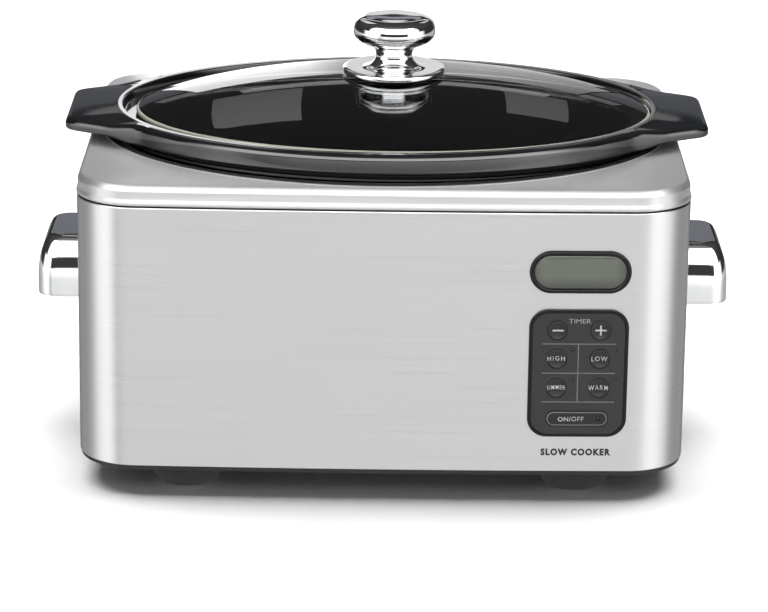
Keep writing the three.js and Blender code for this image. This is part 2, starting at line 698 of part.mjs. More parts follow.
function electronics() {
  const half = BOX_HALF_WIDTH - BOX_WALL - 1;
  const [z0, z1] = [BOX_Z[0] + BOX_WALL + 1, BOX_Z[1] - BOX_WALL - 1];
  const mat = roundedShape(58, 82, 9, 0, (PANEL_Z[0] + PANEL_Z[1]) / 2);
  const domePlaces = [...Object.values(keyPlaces), [0, ROW_POWER_Z]];
  const domes = domePlaces.map(([x, z]) => turnedAlongY(
    [[0, 4.4], [2.2, 4.4], [3.6, 5.6], [0, 5.6]], 6).translate(x, 0, z));
  const ledHoles = Object.values(ledPlaces).map(([x, z]) => rod(LED_R + 1, [x, 2, z], [x, 8, z], 6));
  add('switch_sheet', cut(join(slab(mat, 5, 6), ...domes), ...ledHoles), RUBBER, controls);
  const boardY = 6.5;
  add('control_board', block(-half, half, boardY, boardY + BOARD_T, z0, z1), BOARD_GREEN, controls);
  add('power_board', block(-half, half, 23.4, 23.4 + BOARD_T, z0, z1), BOARD_GREEN, controls);
  add('transformer', block(-16, 16, 9.4, 23.1, 120, 150), ZINC, controls);
  add('relay', block(-24, 4, 11, 23.1, 84, 100), CHARCOAL, controls);
}

// Two leads side by side, from the control box down under the heat shield and up to the heater band
function heaterLeads() {
  const start = new THREE.Vector2(PANEL_X + WIRE_HOLE_X, 17.2 - BODY_DEPTH / 2);
  const along = new THREE.Vector2(-0.8, 0.6);
  const across = new THREE.Vector2(0.6, 0.8);
  const route = [[0, 48], [0, 38], [9, 33], [28, 38], [34, 56], [34, 70]];
  for (const [name, shift] of [['live', -1.6], ['neutral', 1.6]]) {
    const points = route.map(([run, z]) => {
      const place = start.clone().addScaledVector(along, run).addScaledVector(across, shift);
      return [place.x, place.y, z];
    });
    add(`heater_lead_${name}`, wire(points, 1.3, 20), WIRE_WHITE);
  }
}

function cordGland() {
  const gland = turnedAlongY([
    [3.6, 1.8],
    [7.6, 1.8],
    [9, 0.9],
    [9, GAP],
    [GLAND_HOLE_R - 0.4, GAP],
    [GLAND_HOLE_R - 0.4, -1.4],
    [8, -1.8],
    [8, -4],
    [3.6, -4],
    [3.6, 1.8],
  ].map(([r, y]) => [r, -y]), 14);
  add('cord_gland', gland.translate(0, 0, GLAND_Z), RUBBER, rear);
}

// ---------------------------------------------------------------- crock

function crock() {
  const [ra, rb] = CROCK_RIM;
  const [sa, sb] = CROCK_SEAT_EDGE;
  const [ma, mb] = CROCK_MOUTH;
  const footZ = DECK_RECESS_Z + 0.9;
  const outer = [
    [ma - CROCK_TAPER - 8, mb - CROCK_TAPER - 8, CROCK_BASE_Z],
    [ma - CROCK_TAPER + 3, mb - CROCK_TAPER + 3, CROCK_BASE_Z + 4.5],
    [ma - CROCK_TAPER + CROCK_WALL, mb - CROCK_TAPER + CROCK_WALL, CROCK_BASE_Z + 16],
    [ma + CROCK_WALL, mb + CROCK_WALL, 192],
    [ma + 9.5, mb + 14.5, 200],
    [ma + 10.5, mb + 16.5, footZ],
    [ra - 6, rb - 4, footZ],
    [ra - 6, rb - 4, 210.7],
    [ra - 0.8, rb - 0.8, 211],
    [ra, rb, 212],
    [ra, rb, 219.8],
    [ra - 0.35, rb - 0.35, 221.7],
    [ra - 1.5, rb - 1.5, 223.7],
    [ra - 3.9, rb - 3.9, CROCK_RIM_TOP_Z],
    [sa + 2, sb + 2, CROCK_RIM_TOP_Z],
  ];
  const grips = [-1, 1].map((side) => {
    const outline = new THREE.Shape();
    const flare = Math.atan2(GRIP_ROOT_HALF - GRIP_TIP_HALF, GRIP_TIP_X - GRIP_ROOT_X);
    const r = 11;
    const turn = Math.PI / 2 - flare;
    const centreY = GRIP_TIP_HALF - r * Math.tan(turn / 2);
    outline.moveTo(side * 150, -GRIP_ROOT_HALF);
    outline.lineTo(side * GRIP_ROOT_X, -GRIP_ROOT_HALF);
    for (const sy of [-1, 1]) {
      for (let i = 0; i <= 4; i += 1) {
        const t = sy < 0 ? turn * (1 - i / 4) : turn * (i / 4);
        outline.lineTo(side * (GRIP_TIP_X - r + r * Math.cos(t)), sy * (centreY + r * Math.sin(t)));
      }
    }
    outline.lineTo(side * GRIP_ROOT_X, GRIP_ROOT_HALF);
    outline.lineTo(side * 150, GRIP_ROOT_HALF);
    outline.closePath();
    return plate(outline, GRIP_Z, GRIP_TOP_Z).translate(CROCK_X, 0, 0);
  });
  const cavity = [
    [ma - CROCK_TAPER - 18, mb - CROCK_TAPER - 18, CROCK_FLOOR_Z],
    [ma - CROCK_TAPER - 6, mb - CROCK_TAPER - 6, CROCK_FLOOR_Z + 4.4],
    [ma - CROCK_TAPER, mb - CROCK_TAPER, CROCK_FLOOR_Z + 17],
    [ma - 1, mb - 1, CROCK_LEDGE_Z - 8],
    [ma, mb, CROCK_LEDGE_Z - 1.6],
    [ma + 1.6, mb + 1.6, CROCK_LEDGE_Z],
    [sa - 1.4, sb - 1.4, CROCK_LEDGE_Z],
    [sa - 0.6, sb - 0.6, CROCK_RIM_TOP_Z - 1.4],
    [sa + 2.2, sb + 2.2, CROCK_RIM_TOP_Z + 0.2],
  ];
  const body = join(ovalSkin(outer, { x: CROCK_X }), ...grips);
  add('crock', cut(body, ovalSkin(cavity, { x: CROCK_X })), GLAZE);
}

// ---------------------------------------------------------------- lid and knob

// Height of the dome above the lid's edge at a share of the way out from its centre
function domeRise(share) {
  const drop = (1 - Math.sqrt(1 - (LID_DOME * share) ** 2)) / (1 - Math.sqrt(1 - LID_DOME ** 2));
  return (LID_TOP_Z - LID_EDGE_Z - LID_GLASS_T) * (1 - drop);
}

function glassLid() {
  const [a, b] = LID_EDGE;
  const middleZ = LID_EDGE_Z + LID_GLASS_T / 2;
  const bead = LID_GLASS_T / 2;
  const shares = [0.12, 0.36, 0.58, 0.78, 0.93];
  const topSide = shares.map((s) => [a * s, b * s, LID_EDGE_Z + LID_GLASS_T + domeRise(s)]);
  const underside = shares.map((s) => [a * s, b * s, LID_EDGE_Z + domeRise(s)]).reverse();
  const edge = [70, 0, -70].map((degrees) => {
    const t = THREE.MathUtils.degToRad(degrees);
    const inset = bead * (1 - Math.cos(t));
    return [a - inset, b - inset, middleZ + bead * Math.sin(t)];
  });
  const top = LID_TOP_Z - 0.05;
  const sections = [
    [LID_HOLE_R, LID_HOLE_R, top], ...topSide, ...edge, ...underside,
    [LID_HOLE_R, LID_HOLE_R, top - LID_GLASS_T],
  ];
  add('glass_lid', ovalSkin(sections, { x: LID_X, sectionCloses: true }), GLASS);
}

function knobParts() {
  const base = KNOB_BASE_Z;
  const neckZ = base + 12;
  const knob = turned([
    [0, base + 13],
    [KNOB_SCREW_R + 0.3, base + 13],
    [KNOB_SCREW_R + 0.3, base],
    [30, base],
    [30.6, base - 1.8],
    [KNOB_FLANGE_R - 0.5, base - 1.8],
    [KNOB_FLANGE_R, base - 1.2],
    [KNOB_FLANGE_R, base + 1.3],
    [KNOB_FLANGE_R - 0.9, base + 2.4],
    [19.5, base + 3.6],
    ...arc(KNOB_WAIST_R + 8, neckZ, 8, -100, -180, 4),
    [KNOB_WAIST_R + 0.3, base + 14.8],
    ...arc(16, base + 27, KNOB_CAP_R - 16, -86, 62, 7, 0.88),
    [12, KNOB_TOP_Z - 0.5],
    [0, KNOB_TOP_Z],
  ], 28);
  add('knob', knob.translate(LID_X, 0, 0), CHROME);
  const gasket = turned([
    [LID_HOLE_R + 0.4, LID_TOP_Z + GAP],
    [22, LID_TOP_Z + GAP],
    [22.4, LID_TOP_Z + 0.8],
    [22, base - GAP],
    [LID_HOLE_R + 0.4, base - GAP],
    [LID_HOLE_R + 0.4, LID_TOP_Z + GAP],
  ], 20);
  add('knob_gasket', gasket.translate(LID_X, 0, 0), RUBBER);
  const washerTop = LID_TOP_Z - LID_GLASS_T - 0.5;
  const washer = turned([
    [KNOB_SCREW_R + 0.4, washerTop - 2],
    [11.4, washerTop - 2],
    [12.4, washerTop - 1.2],
    [12.4, washerTop],
    [KNOB_SCREW_R + 0.4, washerTop],
    [KNOB_SCREW_R + 0.4, washerTop - 2],
  ]);
  add('knob_washer', washer.translate(LID_X, 0, 0), CHROME);
  const headTop = washerTop - 2 - GAP;
  const screw = turned([
    [0, headTop - 3.6],
    [3.4, headTop - 3.4],
    [5.6, headTop - 1.6],
    [5.6, headTop],
    [KNOB_SCREW_R, headTop],
    [KNOB_SCREW_R, base + 11.6],
    [0, base + 12.4],
  ], 12);
  add('knob_screw', screw.translate(LID_X, 0, 0), CHROME);
}

// ---------------------------------------------------------------- assembly

bodyWrap();
topDeck();
baseTray();
feet();
sideHandles();
heatingWell();
heatingParts();
displayParts();
controlPanel();
keys();
leds();
controlBox();
electronics();
heaterLeads();
cordGland();
crock();
glassLid();
knobParts();

export default cooker;
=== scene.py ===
import math

import bmesh
import bpy
import numpy as np
from mathutils import Matrix, Vector


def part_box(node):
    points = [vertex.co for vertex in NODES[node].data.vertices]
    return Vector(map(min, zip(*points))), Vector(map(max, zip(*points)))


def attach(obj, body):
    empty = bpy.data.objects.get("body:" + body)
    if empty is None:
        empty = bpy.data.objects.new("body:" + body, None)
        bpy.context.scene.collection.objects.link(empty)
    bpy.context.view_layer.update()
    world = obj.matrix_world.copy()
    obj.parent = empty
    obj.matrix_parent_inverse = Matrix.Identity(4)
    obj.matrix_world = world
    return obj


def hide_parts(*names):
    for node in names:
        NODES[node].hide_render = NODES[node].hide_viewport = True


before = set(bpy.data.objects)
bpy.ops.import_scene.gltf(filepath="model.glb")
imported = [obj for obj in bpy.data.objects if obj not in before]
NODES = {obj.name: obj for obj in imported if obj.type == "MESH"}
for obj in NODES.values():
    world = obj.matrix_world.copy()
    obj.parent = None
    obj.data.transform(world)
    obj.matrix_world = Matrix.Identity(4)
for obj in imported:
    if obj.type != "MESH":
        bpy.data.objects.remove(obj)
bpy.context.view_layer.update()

MM = 0.001


def box(node):
    """Lowest and highest corner of a CAD node, in millimetres."""
    low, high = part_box(node)
    return np.array(low) / MM, np.array(high) / MM


def show(thing):
    """Links an object into the scene."""
    bpy.context.scene.collection.objects.link(thing)
    return thing


# ---------------------------------------------------------------- camera

CAMERA_PITCH = 0.304370
CAMERA_YAW = 0.0025219
CAMERA_ROLL = 0.0126517
CAMERA_DISTANCE = 2.38668
CAMERA_AIM = (0.0012, 0.0, 0.0820)
CAMERA_LENS = 163.476


def make_camera():
    """Long-lens camera in front of and above the object, aimed at the middle of the housing."""
    forward = Vector((
        math.sin(CAMERA_YAW) * math.cos(CAMERA_PITCH),
        math.cos(CAMERA_YAW) * math.cos(CAMERA_PITCH),
        -math.sin(CAMERA_PITCH),
    ))
    level = Vector((math.cos(CAMERA_YAW), -math.sin(CAMERA_YAW), 0))
    upright = level.cross(forward)
    right = level * math.cos(CAMERA_ROLL) + upright * math.sin(CAMERA_ROLL)
    up = upright * math.cos(CAMERA_ROLL) - level * math.sin(CAMERA_ROLL)
    data = bpy.data.cameras.new("camera")
    data.lens = CAMERA_LENS
    data.clip_start, data.clip_end = 0.05, 50
    camera = bpy.data.objects.new("camera", data)
    place = Vector(CAMERA_AIM) - forward * CAMERA_DISTANCE
    turn = Matrix((right, up, -forward)).transposed().to_4x4()
    camera.matrix_world = Matrix.Translation(place) @ turn
    bpy.context.scene.camera = show(camera)


make_camera()

# ---------------------------------------------------------------- materials


class Nodes:
    """Short-hand for building a node tree."""

    def __init__(self, tree):
        self.tree = tree

    def add(self, kind, links=None, **settings):
        node = self.tree.nodes.new(kind)
        for key, value in settings.items():
            setattr(node, key, value)
        for key, value in (links or {}).items():
            if isinstance(value, bpy.types.NodeSocket):
                self.tree.links.new(value, node.inputs[key])
            else:
                node.inputs[key].default_value = value
        return node

    def math(self, operation, *values):
        return self.add("ShaderNodeMath", dict(enumerate(values)), operation=operation).outputs[0]

    def noise(self, place, scale, detail):
        links = {"Vector": place, "Scale": scale, "Detail": detail}
        return self.add("ShaderNodeTexNoise", links).outputs["Fac"]

    def share(self, value, low, high):
        """Where a value lies between two limits, from 0 to 1."""
        links = {"Value": value, "From Min": low, "From Max": high}
        return self.add("ShaderNodeMapRange", links).outputs[0]

    def blend(self, share, at_one, at_zero):
        """Weighted sum of two levels."""
        rest = self.math("SUBTRACT", 1.0, share)
        return self.math("ADD", self.math("MULTIPLY", at_one, share), self.math("MULTIPLY", at_zero, rest))

    def ramp(self, value, stops):
        node = self.add("ShaderNodeValToRGB", {"Fac": value})
        elements = node.color_ramp.elements
        while len(elements) < len(stops):
            elements.new(0.5)
        for element, (place, level) in zip(elements, stops):
            element.position = place
            colour = level if isinstance(level, tuple) else (level,) * 3
            element.color = (*colour, 1)
        return node.outputs["Color"]


def new_material(name, **fixed):
    """A Principled material with constants on its own sockets, and its node builder."""
    made = bpy.data.materials.new(name)
    made.use_nodes = True
    nodes = Nodes(made.node_tree)
    shader = made.node_tree.nodes["Principled BSDF"]
    for key, value in fixed.items():
        socket = shader.inputs[key.replace("_", " ")]
        socket.default_value = (*value, 1) if isinstance(value, tuple) and len(value) == 3 else value
    return made, nodes, shader


def varied(nodes, shader, colours, roughness, scale, stretch=(1, 1, 1), space="Object", detail=3.0,
           bump=0.0, bump_scale=None):
    """Noise drives the colour between two tones, the roughness between two values, and a fine bump."""
    join = nodes.tree.links.new
    place = nodes.add("ShaderNodeTexCoord").outputs[space]
    spread = nodes.add("ShaderNodeMapping", {"Vector": place, "Scale": stretch}).outputs[0]
    contrast = nodes.share(nodes.noise(spread, scale, detail), 0.3, 0.7)
    tones = {0: contrast, 6: (*colours[0], 1), 7: (*colours[1], 1)}
    join(nodes.add("ShaderNodeMix", tones, data_type="RGBA").outputs[2], shader.inputs["Base Color"])
    limits = {"Value": contrast, "To Min": roughness[0], "To Max": roughness[1]}
    join(nodes.add("ShaderNodeMapRange", limits).outputs[0], shader.inputs["Roughness"])
    if bump:
        fine = nodes.noise(spread, bump_scale or scale * 4, 2.0)
        lift = nodes.add("ShaderNodeBump", {"Height": fine, "Strength": bump, "Distance": 0.0002})
        join(lift.outputs[0], shader.inputs["Normal"])


def plain(name, colours, roughness, scale, fixed=None, **options):
    made, nodes, shader = new_material(name, **(fixed or {}))
    varied(nodes, shader, colours, roughness, scale, **options)
    return made


def greys(low, high, cool=0.0):
    """Two neutral tones, a little blue where cool is above zero."""
    return [(level * (1 - cool), level, level * (1 + cool)) for level in (low, high)]


STEEL_STREAKS = (5, 1500, 1)
STEEL_ANISOTROPY = 0.75


def brushed(name, level, roughness, metallic=1.0):
    """Brushed steel: fine lines along U of the piece's own map, and a highlight that spreads across them."""
    made, nodes, shader = new_material(name, Metallic=metallic, Anisotropic=STEEL_ANISOTROPY,
                                       Anisotropic_Rotation=0.25)
    varied(nodes, shader, greys(level * 0.975, level * 1.02, 0.004), roughness, 1.0,
           stretch=STEEL_STREAKS, space="UV", detail=4.0, bump=0.035, bump_scale=2.3)
    tangent = nodes.add("ShaderNodeTangent", direction_type="UV_MAP", uv_map="UVMap")
    nodes.tree.links.new(tangent.outputs[0], shader.inputs["Tangent"])
    return made


METAL = {"Metallic": 1.0}

steel_wrap = brushed("steel_wrap", 0.605, (0.27, 0.33))
steel_deck = brushed("steel_deck", 0.55, (0.30, 0.36), metallic=0.82)
chrome = plain("chrome", greys(0.80, 0.86, 0.01), (0.025, 0.05), 60, METAL)
zinc = plain("zinc_plate", greys(0.50, 0.62), (0.32, 0.46), 300, METAL, bump=0.1)
aluminised = plain("aluminised_steel", greys(0.42, 0.50), (0.38, 0.5), 120, METAL, bump=0.08,
                   stretch=(1, 1, 4))
glaze = plain("black_glaze", greys(0.004, 0.008, 0.1), (0.05, 0.09), 40, {"Specular_IOR_Level": 1.0},
              bump=0.03, bump_scale=55)
bisque = plain("unglazed_stoneware", ((0.30, 0.24, 0.19), (0.36, 0.30, 0.24)), (0.75, 0.9), 200, bump=0.3)
base_plastic = plain("base_plastic", greys(0.007, 0.011), (0.35, 0.5), 400, bump=0.15, bump_scale=1500)
gloss_black = plain("gloss_black", greys(0.010, 0.013), (0.10, 0.16), 90, {"Specular_IOR_Level": 0.22})
charcoal = plain("charcoal_panel", greys(0.021, 0.025, 0.02), (0.38, 0.46), 700, bump=0.06,
                 bump_scale=2500)
key_plastic = plain("key_plastic", greys(0.021, 0.025, 0.02), (0.34, 0.42), 700,
                    {"Specular_IOR_Level": 0.35})
rubber = plain("rubber", greys(0.009, 0.016), (0.6, 0.8), 500, bump=0.2, bump_scale=1800)
print_white = plain("print_white", greys(0.70, 0.76), (0.5, 0.6), 500)
print_grey = plain("print_grey", greys(0.20, 0.24), (0.5, 0.6), 500)
print_light = plain("print_light", greys(0.42, 0.48), (0.5, 0.6), 500)
print_black = plain("print_black", greys(0.010, 0.016), (0.4, 0.5), 500)
mica = plain("mica_band", ((0.42, 0.34, 0.22), (0.52, 0.43, 0.30)), (0.7, 0.85), 250, bump=0.2)
inner_plastic = plain("inner_plastic", greys(0.030, 0.042), (0.45, 0.6), 400, bump=0.1)
board_green = plain("circuit_board", ((0.010, 0.085, 0.035), (0.018, 0.12, 0.05)), (0.35, 0.5), 350)
wire_white = plain("wire_sleeve", greys(0.55, 0.66), (0.6, 0.75), 900, bump=0.2)
led_lens = plain("led_lens", ((0.060, 0.056, 0.058), (0.075, 0.070, 0.072)), (0.4, 0.5), 600,
                 {"Specular_IOR_Level": 0.2})
GLASS_TINT = (0.97, 0.985, 0.975)
clear_glass = plain("clear_glass", (GLASS_TINT, tuple(c * 0.985 for c in GLASS_TINT)), (0.0, 0.01), 30,
                    {"IOR": 1.5, "Transmission_Weight": 1.0})
ground_glass = plain("ground_glass_edge", ((0.40, 0.39, 0.33), (0.44, 0.43, 0.37)), (0.10, 0.16), 60,
                     {"Metallic": 0.4})


def make_lcd():
    """Olive-grey display: darker towards its lower edge and its ends, under a clear coat."""
    made, nodes, shader = new_material("lcd_face", Roughness=0.35, Coat_Weight=0.6, Coat_Roughness=0.05)
    low, high = box("display_lens")
    place = nodes.add("ShaderNodeTexCoord").outputs["Object"]
    parts = nodes.add("ShaderNodeSeparateXYZ", {0: place}).outputs
    rise = nodes.share(parts[2], low[2] * MM, high[2] * MM)
    run = nodes.share(parts[0], low[0] * MM, high[0] * MM)
    olive, dim, dark = (0.175, 0.195, 0.150), (0.10, 0.11, 0.09), (0.075, 0.082, 0.068)
    upright = nodes.ramp(rise, [(0.0, dark), (0.14, dim), (0.36, olive), (0.9, olive), (1.0, dark)])
    across = nodes.ramp(run, [(0.0, 0.55), (0.10, 1.0), (0.88, 1.0), (1.0, 0.5)])
    mix = nodes.add("ShaderNodeMix", {0: 1.0, 6: upright, 7: across}, data_type="RGBA",
                    blend_type="MULTIPLY")
    nodes.tree.links.new(mix.outputs[2], shader.inputs["Base Color"])
    return made


lcd_face = make_lcd()

# ---------------------------------------------------------------- mesh tools


LEAST_TURN = 0.02  # radians; a corner flatter than this isn't rounded


def fillet(points, steps=4):
    """Points of an open section [(a, b, radius), ...] with each corner rounded by its radius."""
    out = []
    for i, (a, b, radius) in enumerate(points):
        corner = np.array((a, b), float)
        if radius <= 0 or i in (0, len(points) - 1):
            out.append(corner)
            continue
        back = np.array(points[i - 1][:2], float) - corner
        on = np.array(points[i + 1][:2], float) - corner
        reach_back, reach_on = np.linalg.norm(back), np.linalg.norm(on)
        back, on = back / reach_back, on / reach_on
        half = math.acos(np.clip(back @ on, -1, 1)) / 2
        turn = math.pi - 2 * half
        if turn < LEAST_TURN:
            out.append(corner)
            continue
        cut = min(radius / math.tan(half), 0.49 * reach_back, 0.49 * reach_on)
        centre = corner + (back + on) / np.linalg.norm(back + on) * cut / math.cos(half)
        start, end = corner + back * cut - centre, corner + on * cut - centre
        for k in range(steps + 1):
            t = k / steps
            arc = math.sin((1 - t) * turn) * start + math.sin(t * turn) * end
            out.append(centre + arc / math.sin(turn))
    return out


def spline(points, steps=6):
    """Smooth curve through points (Catmull-Rom)."""
    pts = np.array([points[0], *points, points[-1]], float)
    out = []
    for i in range(1, len(pts) - 2):
        p0, p1, p2, p3 = pts[i - 1:i + 3]
        for k in range(steps):
            t = k / steps
            out.append(0.5 * (2 * p1 + (p2 - p0) * t + (2 * p0 - 5 * p1 + 4 * p2 - p3) * t ** 2
                              + (3 * p1 - p0 - 3 * p2 + p3) * t ** 3))
    return [*out, pts[-2]]


class Surface:
    """Collects quads, with a map and a material number for each."""

    def __init__(self):
        self.points, self.faces, self.maps, self.marks = [], [], [], []

    def loft(self, rings, closes=False, caps=(False, False), uv=None, mark=0):
        """Skin through equal rings of 3D points; uv is a matching list of (count + 1) map points."""
        base = len(self.points)
        count = len(rings[0])
        for ring in rings:
            self.points.extend(np.asarray(ring, float))
        for r in range(len(rings) if closes else len(rings) - 1):
            s = (r + 1) % len(rings)
            for i in range(count):
                j = (i + 1) % count
                corners = (r * count + i, r * count + j, s * count + j, s * count + i)
                self.faces.append([base + k for k in corners])
                if uv is None:
                    self.maps.append([(0, 0)] * 4)
                else:
                    t = r + 1 if s else len(uv) - 1
                    self.maps.append([uv[r][i], uv[r][i + 1], uv[t][i + 1], uv[t][i]])
                self.marks.append(mark)
        for wanted, start in zip(caps, (base, base + (len(rings) - 1) * count)):
            if wanted:
                end_ring = range(start, start + count)
                self.faces.append(list(end_ring))
                self.maps.append([tuple(self.points[k][:2] * MM) for k in end_ring])
                self.marks.append(mark)
        return self

    def face(self, points, mark=0):
        base = len(self.points)
        self.points.extend(np.asarray(points, float))
        self.faces.append(list(range(base, base + len(points))))
        self.maps.append([(0, 0)] * len(points))
        self.marks.append(mark)
        return self

    def moved(self, matrix):
        rotation, shift = np.array(matrix)[:3, :3], np.array(matrix)[:3, 3]
        self.points = [rotation @ p + shift for p in self.points]
        return self

    def mesh(self, name, sharp=35):
        made = bpy.data.meshes.new(name)
        made.from_pydata([tuple(p * MM) for p in self.points], [], self.faces)
        layer = made.uv_layers.new(name="UVMap")
        corners = np.array([corner for face in self.maps for corner in face], np.float32)
        layer.data.foreach_set("uv", corners.ravel())
        made.polygons.foreach_set("material_index", self.marks)
        work = bmesh.new()
        work.from_mesh(made)
        bmesh.ops.remove_doubles(work, verts=work.verts, dist=1e-6)
        bmesh.ops.recalc_face_normals(work, faces=work.faces)
        work.to_mesh(made)
        work.free()
        made.shade_smooth()
        made.set_sharp_from_angle(angle=math.radians(sharp))
        return made


def piece(name, body, surface, looks, stands_for=(), sharp=35):
    """A finished object that rides on a CAD body, in place of CAD nodes."""
    mesh = surface.mesh(name, sharp) if isinstance(surface, Surface) else surface
    mesh.name = name
    marks = [face.material_index for face in mesh.polygons]
    mesh.materials.clear()
    for look in looks if isinstance(looks, (list, tuple)) else [looks]:
        mesh.materials.append(look)
    mesh.polygons.foreach_set("material_index", marks)
    made = show(bpy.data.objects.new(name, mesh))
    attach(made, body)
    if stands_for:
        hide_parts(*stands_for)
    return made


def carved(surface, name, cutters, sharp=35, solver="EXACT"):
    """Mesh of a surface with closed cutter surfaces taken away."""
    made = show(bpy.data.objects.new(name, surface.mesh(name, sharp)))
    tools = []
    for k, cutter in enumerate(cutters):
        tool = show(bpy.data.objects.new(f"{name}_cut{k}", cutter.mesh(f"{name}_cut{k}")))
        modifier = made.modifiers.new(f"cut{k}", "BOOLEAN")
        modifier.operation, modifier.solver, modifier.object = "DIFFERENCE", solver, tool
        tools.append(tool)
    bpy.context.view_layer.update()
    result = bpy.data.meshes.new_from_object(made.evaluated_get(bpy.context.evaluated_depsgraph_get()))
    for unused in [made, *tools]:
        data = unused.data
        bpy.data.objects.remove(unused)
        bpy.data.meshes.remove(data)
    result.shade_smooth()
    result.set_sharp_from_angle(angle=math.radians(sharp))
    return result


def at_height(ring, z):
    """Points in 3D from points in plan; z is one height or one for each point."""
    return np.column_stack([ring, np.full(len(ring), z) if np.isscalar(z) else z])


def circle(radius, steps):
    t = np.arange(steps) * 2 * math.pi / steps
    return np.stack([radius * np.cos(t), radius * np.sin(t)], 1)


def ellipse(a, b, z, steps, centre_x=0.0):
    t = np.arange(steps) * 2 * math.pi / steps
    return at_height(np.stack([a * np.cos(t) + centre_x, b * np.sin(t)], 1), z)


def evenly(points, count):
    """Points spaced evenly along a closed outline."""
    closed = np.vstack([points, points[:1]])
    run = np.concatenate([[0], np.cumsum(np.linalg.norm(np.diff(closed, axis=0), axis=1))])
    goal = np.linspace(0, run[-1], count, endpoint=False)
    return np.column_stack([np.interp(goal, run, closed[:, k]) for k in range(2)])


def turned(profile, centre=(0, 0), steps=48, surface=None):
    """Solid of revolution about +Z from [radius, height] points."""
    rings = [at_height(circle(radius, steps) + centre, z) for radius, z in profile]
    return (surface or Surface()).loft(rings)


def rounded(width, height, radius, centre=(0, 0), steps=8):
    """Points of a rounded rectangle, counter-clockwise."""
    out = []
    for k, (sx, sy) in enumerate([(1, -1), (1, 1), (-1, 1), (-1, -1)]):
        for i in range(steps + 1):
            t = (k - 1 + i / steps) * math.pi / 2
            out.append((sx * (width / 2 - radius) + radius * math.cos(t),
                        sy * (height / 2 - radius) + radius * math.sin(t)))
    return np.array(out) + centre


def prism(outline, z0, z1):
    """Closed upright solid from an outline in plan."""
    return Surface().loft([at_height(outline, z0), at_height(outline, z1)], caps=(True, True))


def rod(radius, start, end, steps=24):
    """Closed cylinder between two points, used to cut holes."""
    start, end = np.array(start, float), np.array(end, float)
    axis = (end - start) / np.linalg.norm(end - start)
    side = np.cross(axis, (0, 0, 1) if abs(axis[2]) < 0.9 else (1, 0, 0))
    side /= np.linalg.norm(side)
    up = np.cross(axis, side)
    ring = circle(radius, steps)
    rings = [p + ring[:, :1] * side + ring[:, 1:] * up for p in (start, end)]
    return Surface().loft(rings, caps=(True, True))


# ---------------------------------------------------------------- housing outline

WRAP_LOW, WRAP_HIGH = box("body_wrap")
DECK_LOW, DECK_HIGH = box("top_deck")
HALF_WIDTH = WRAP_HIGH[0]
HALF_DEPTH = WRAP_HIGH[1]
CORNER_R = 38
BOW = 3.5
STEEL_T = 1.0
OUTLINE_CORNER, OUTLINE_LONG, OUTLINE_SHORT = 26, 60, 30


def housing(offset=0.0):
    """Outline of the housing, grown by offset, from the rear round.

    Gives its points, their outward normals, and the distance run at each point and back at the start.
    """
    half_x, half_y, r = HALF_WIDTH + offset, HALF_DEPTH - BOW + offset, CORNER_R + offset
    points, normals = [], []
    for k, (sx, sy) in enumerate([(-1, 1), (-1, -1), (1, -1), (1, 1)]):
        for i in range(OUTLINE_CORNER + 1):
            t = (1 + k + i / OUTLINE_CORNER) * math.pi / 2
            points.append((sx * (half_x - r) + r * math.cos(t), sy * (half_y - r) + r * math.sin(t)))
            normals.append((math.cos(t), math.sin(t)))
        t = (2 + k) * math.pi / 2
        steps = OUTLINE_SHORT if k % 2 == 0 else OUTLINE_LONG
        start = np.array(points[-1])
        travel = 2 * (half_y - r if k % 2 == 0 else half_x - r)
        along = np.array((-math.sin(t), math.cos(t))) * travel
        for i in range(1, steps):
            points.append(tuple(start + along * i / steps))
            normals.append((math.cos(t), math.sin(t)))
    points, normals = np.array(points), np.array(normals)
    stretch = 1 + BOW / half_y * (1 - (points[:, 0] / half_x) ** 2)
    lean = -points[:, 1] * 2 * BOW * points[:, 0] / (half_y * half_x ** 2)
    normals = np.stack([normals[:, 0] - lean / stretch * normals[:, 1], normals[:, 1] / stretch], 1)
    normals /= np.linalg.norm(normals, axis=1, keepdims=True)
    points[:, 1] *= stretch
    shift = OUTLINE_LONG // 2 - 1
    points, normals = np.roll(points, shift, 0), np.roll(normals, shift, 0)
    steps = np.linalg.norm(np.diff(points, axis=0, append=points[:1]), axis=1)
    return points, normals, np.concatenate([[0], np.cumsum(steps)])


def side_normal(x, y):
    """Outward normal of the wrap at a point of its outer face."""
    half_x, half_y = HALF_WIDTH, HALF_DEPTH - BOW
    stretch = 1 + BOW / half_y * (1 - (x / half_x) ** 2)
    y0 = y / stretch
    inner_x, inner_y = half_x - CORNER_R, half_y - CORNER_R
    nx = math.copysign(max(abs(x) - inner_x, 0), x)
    ny = math.copysign(max(abs(y0) - inner_y, 0), y0)
    length = math.hypot(nx, ny)
    nx, ny = nx / length, ny / length
    lean = -y0 * 2 * BOW * x / (half_y * half_x ** 2)
    return Vector((nx - lean / stretch * ny, ny / stretch, 0)).normalized()


def side_frame(x, side):
    """Frame that lies on the bowed wall at x, its -Y outward: side is -1 for the front, 1 for the rear."""
    slope = BOW * 2 * x / HALF_WIDTH ** 2
    reach = HALF_DEPTH - BOW * (x / HALF_WIDTH) ** 2
    turn = -side * slope + (math.pi if side > 0 else 0)
    return Matrix.Translation((x, side * reach, 0)) @ Matrix.Rotation(turn, 4, "Z")


PANEL_X = 125.7
PANEL_Z = (44, 130)
PANEL_MIDDLE = sum(PANEL_Z) / 2
DISPLAY_Z = 154.7
CONTROLS = side_frame(PANEL_X, -1)
GLAND_X, GLAND_Z = -110, 44
REAR = side_frame(GLAND_X, 1)
SCREW_Y, SCREW_Z = 24, 118
SCREW_HOLE_R = 2.3


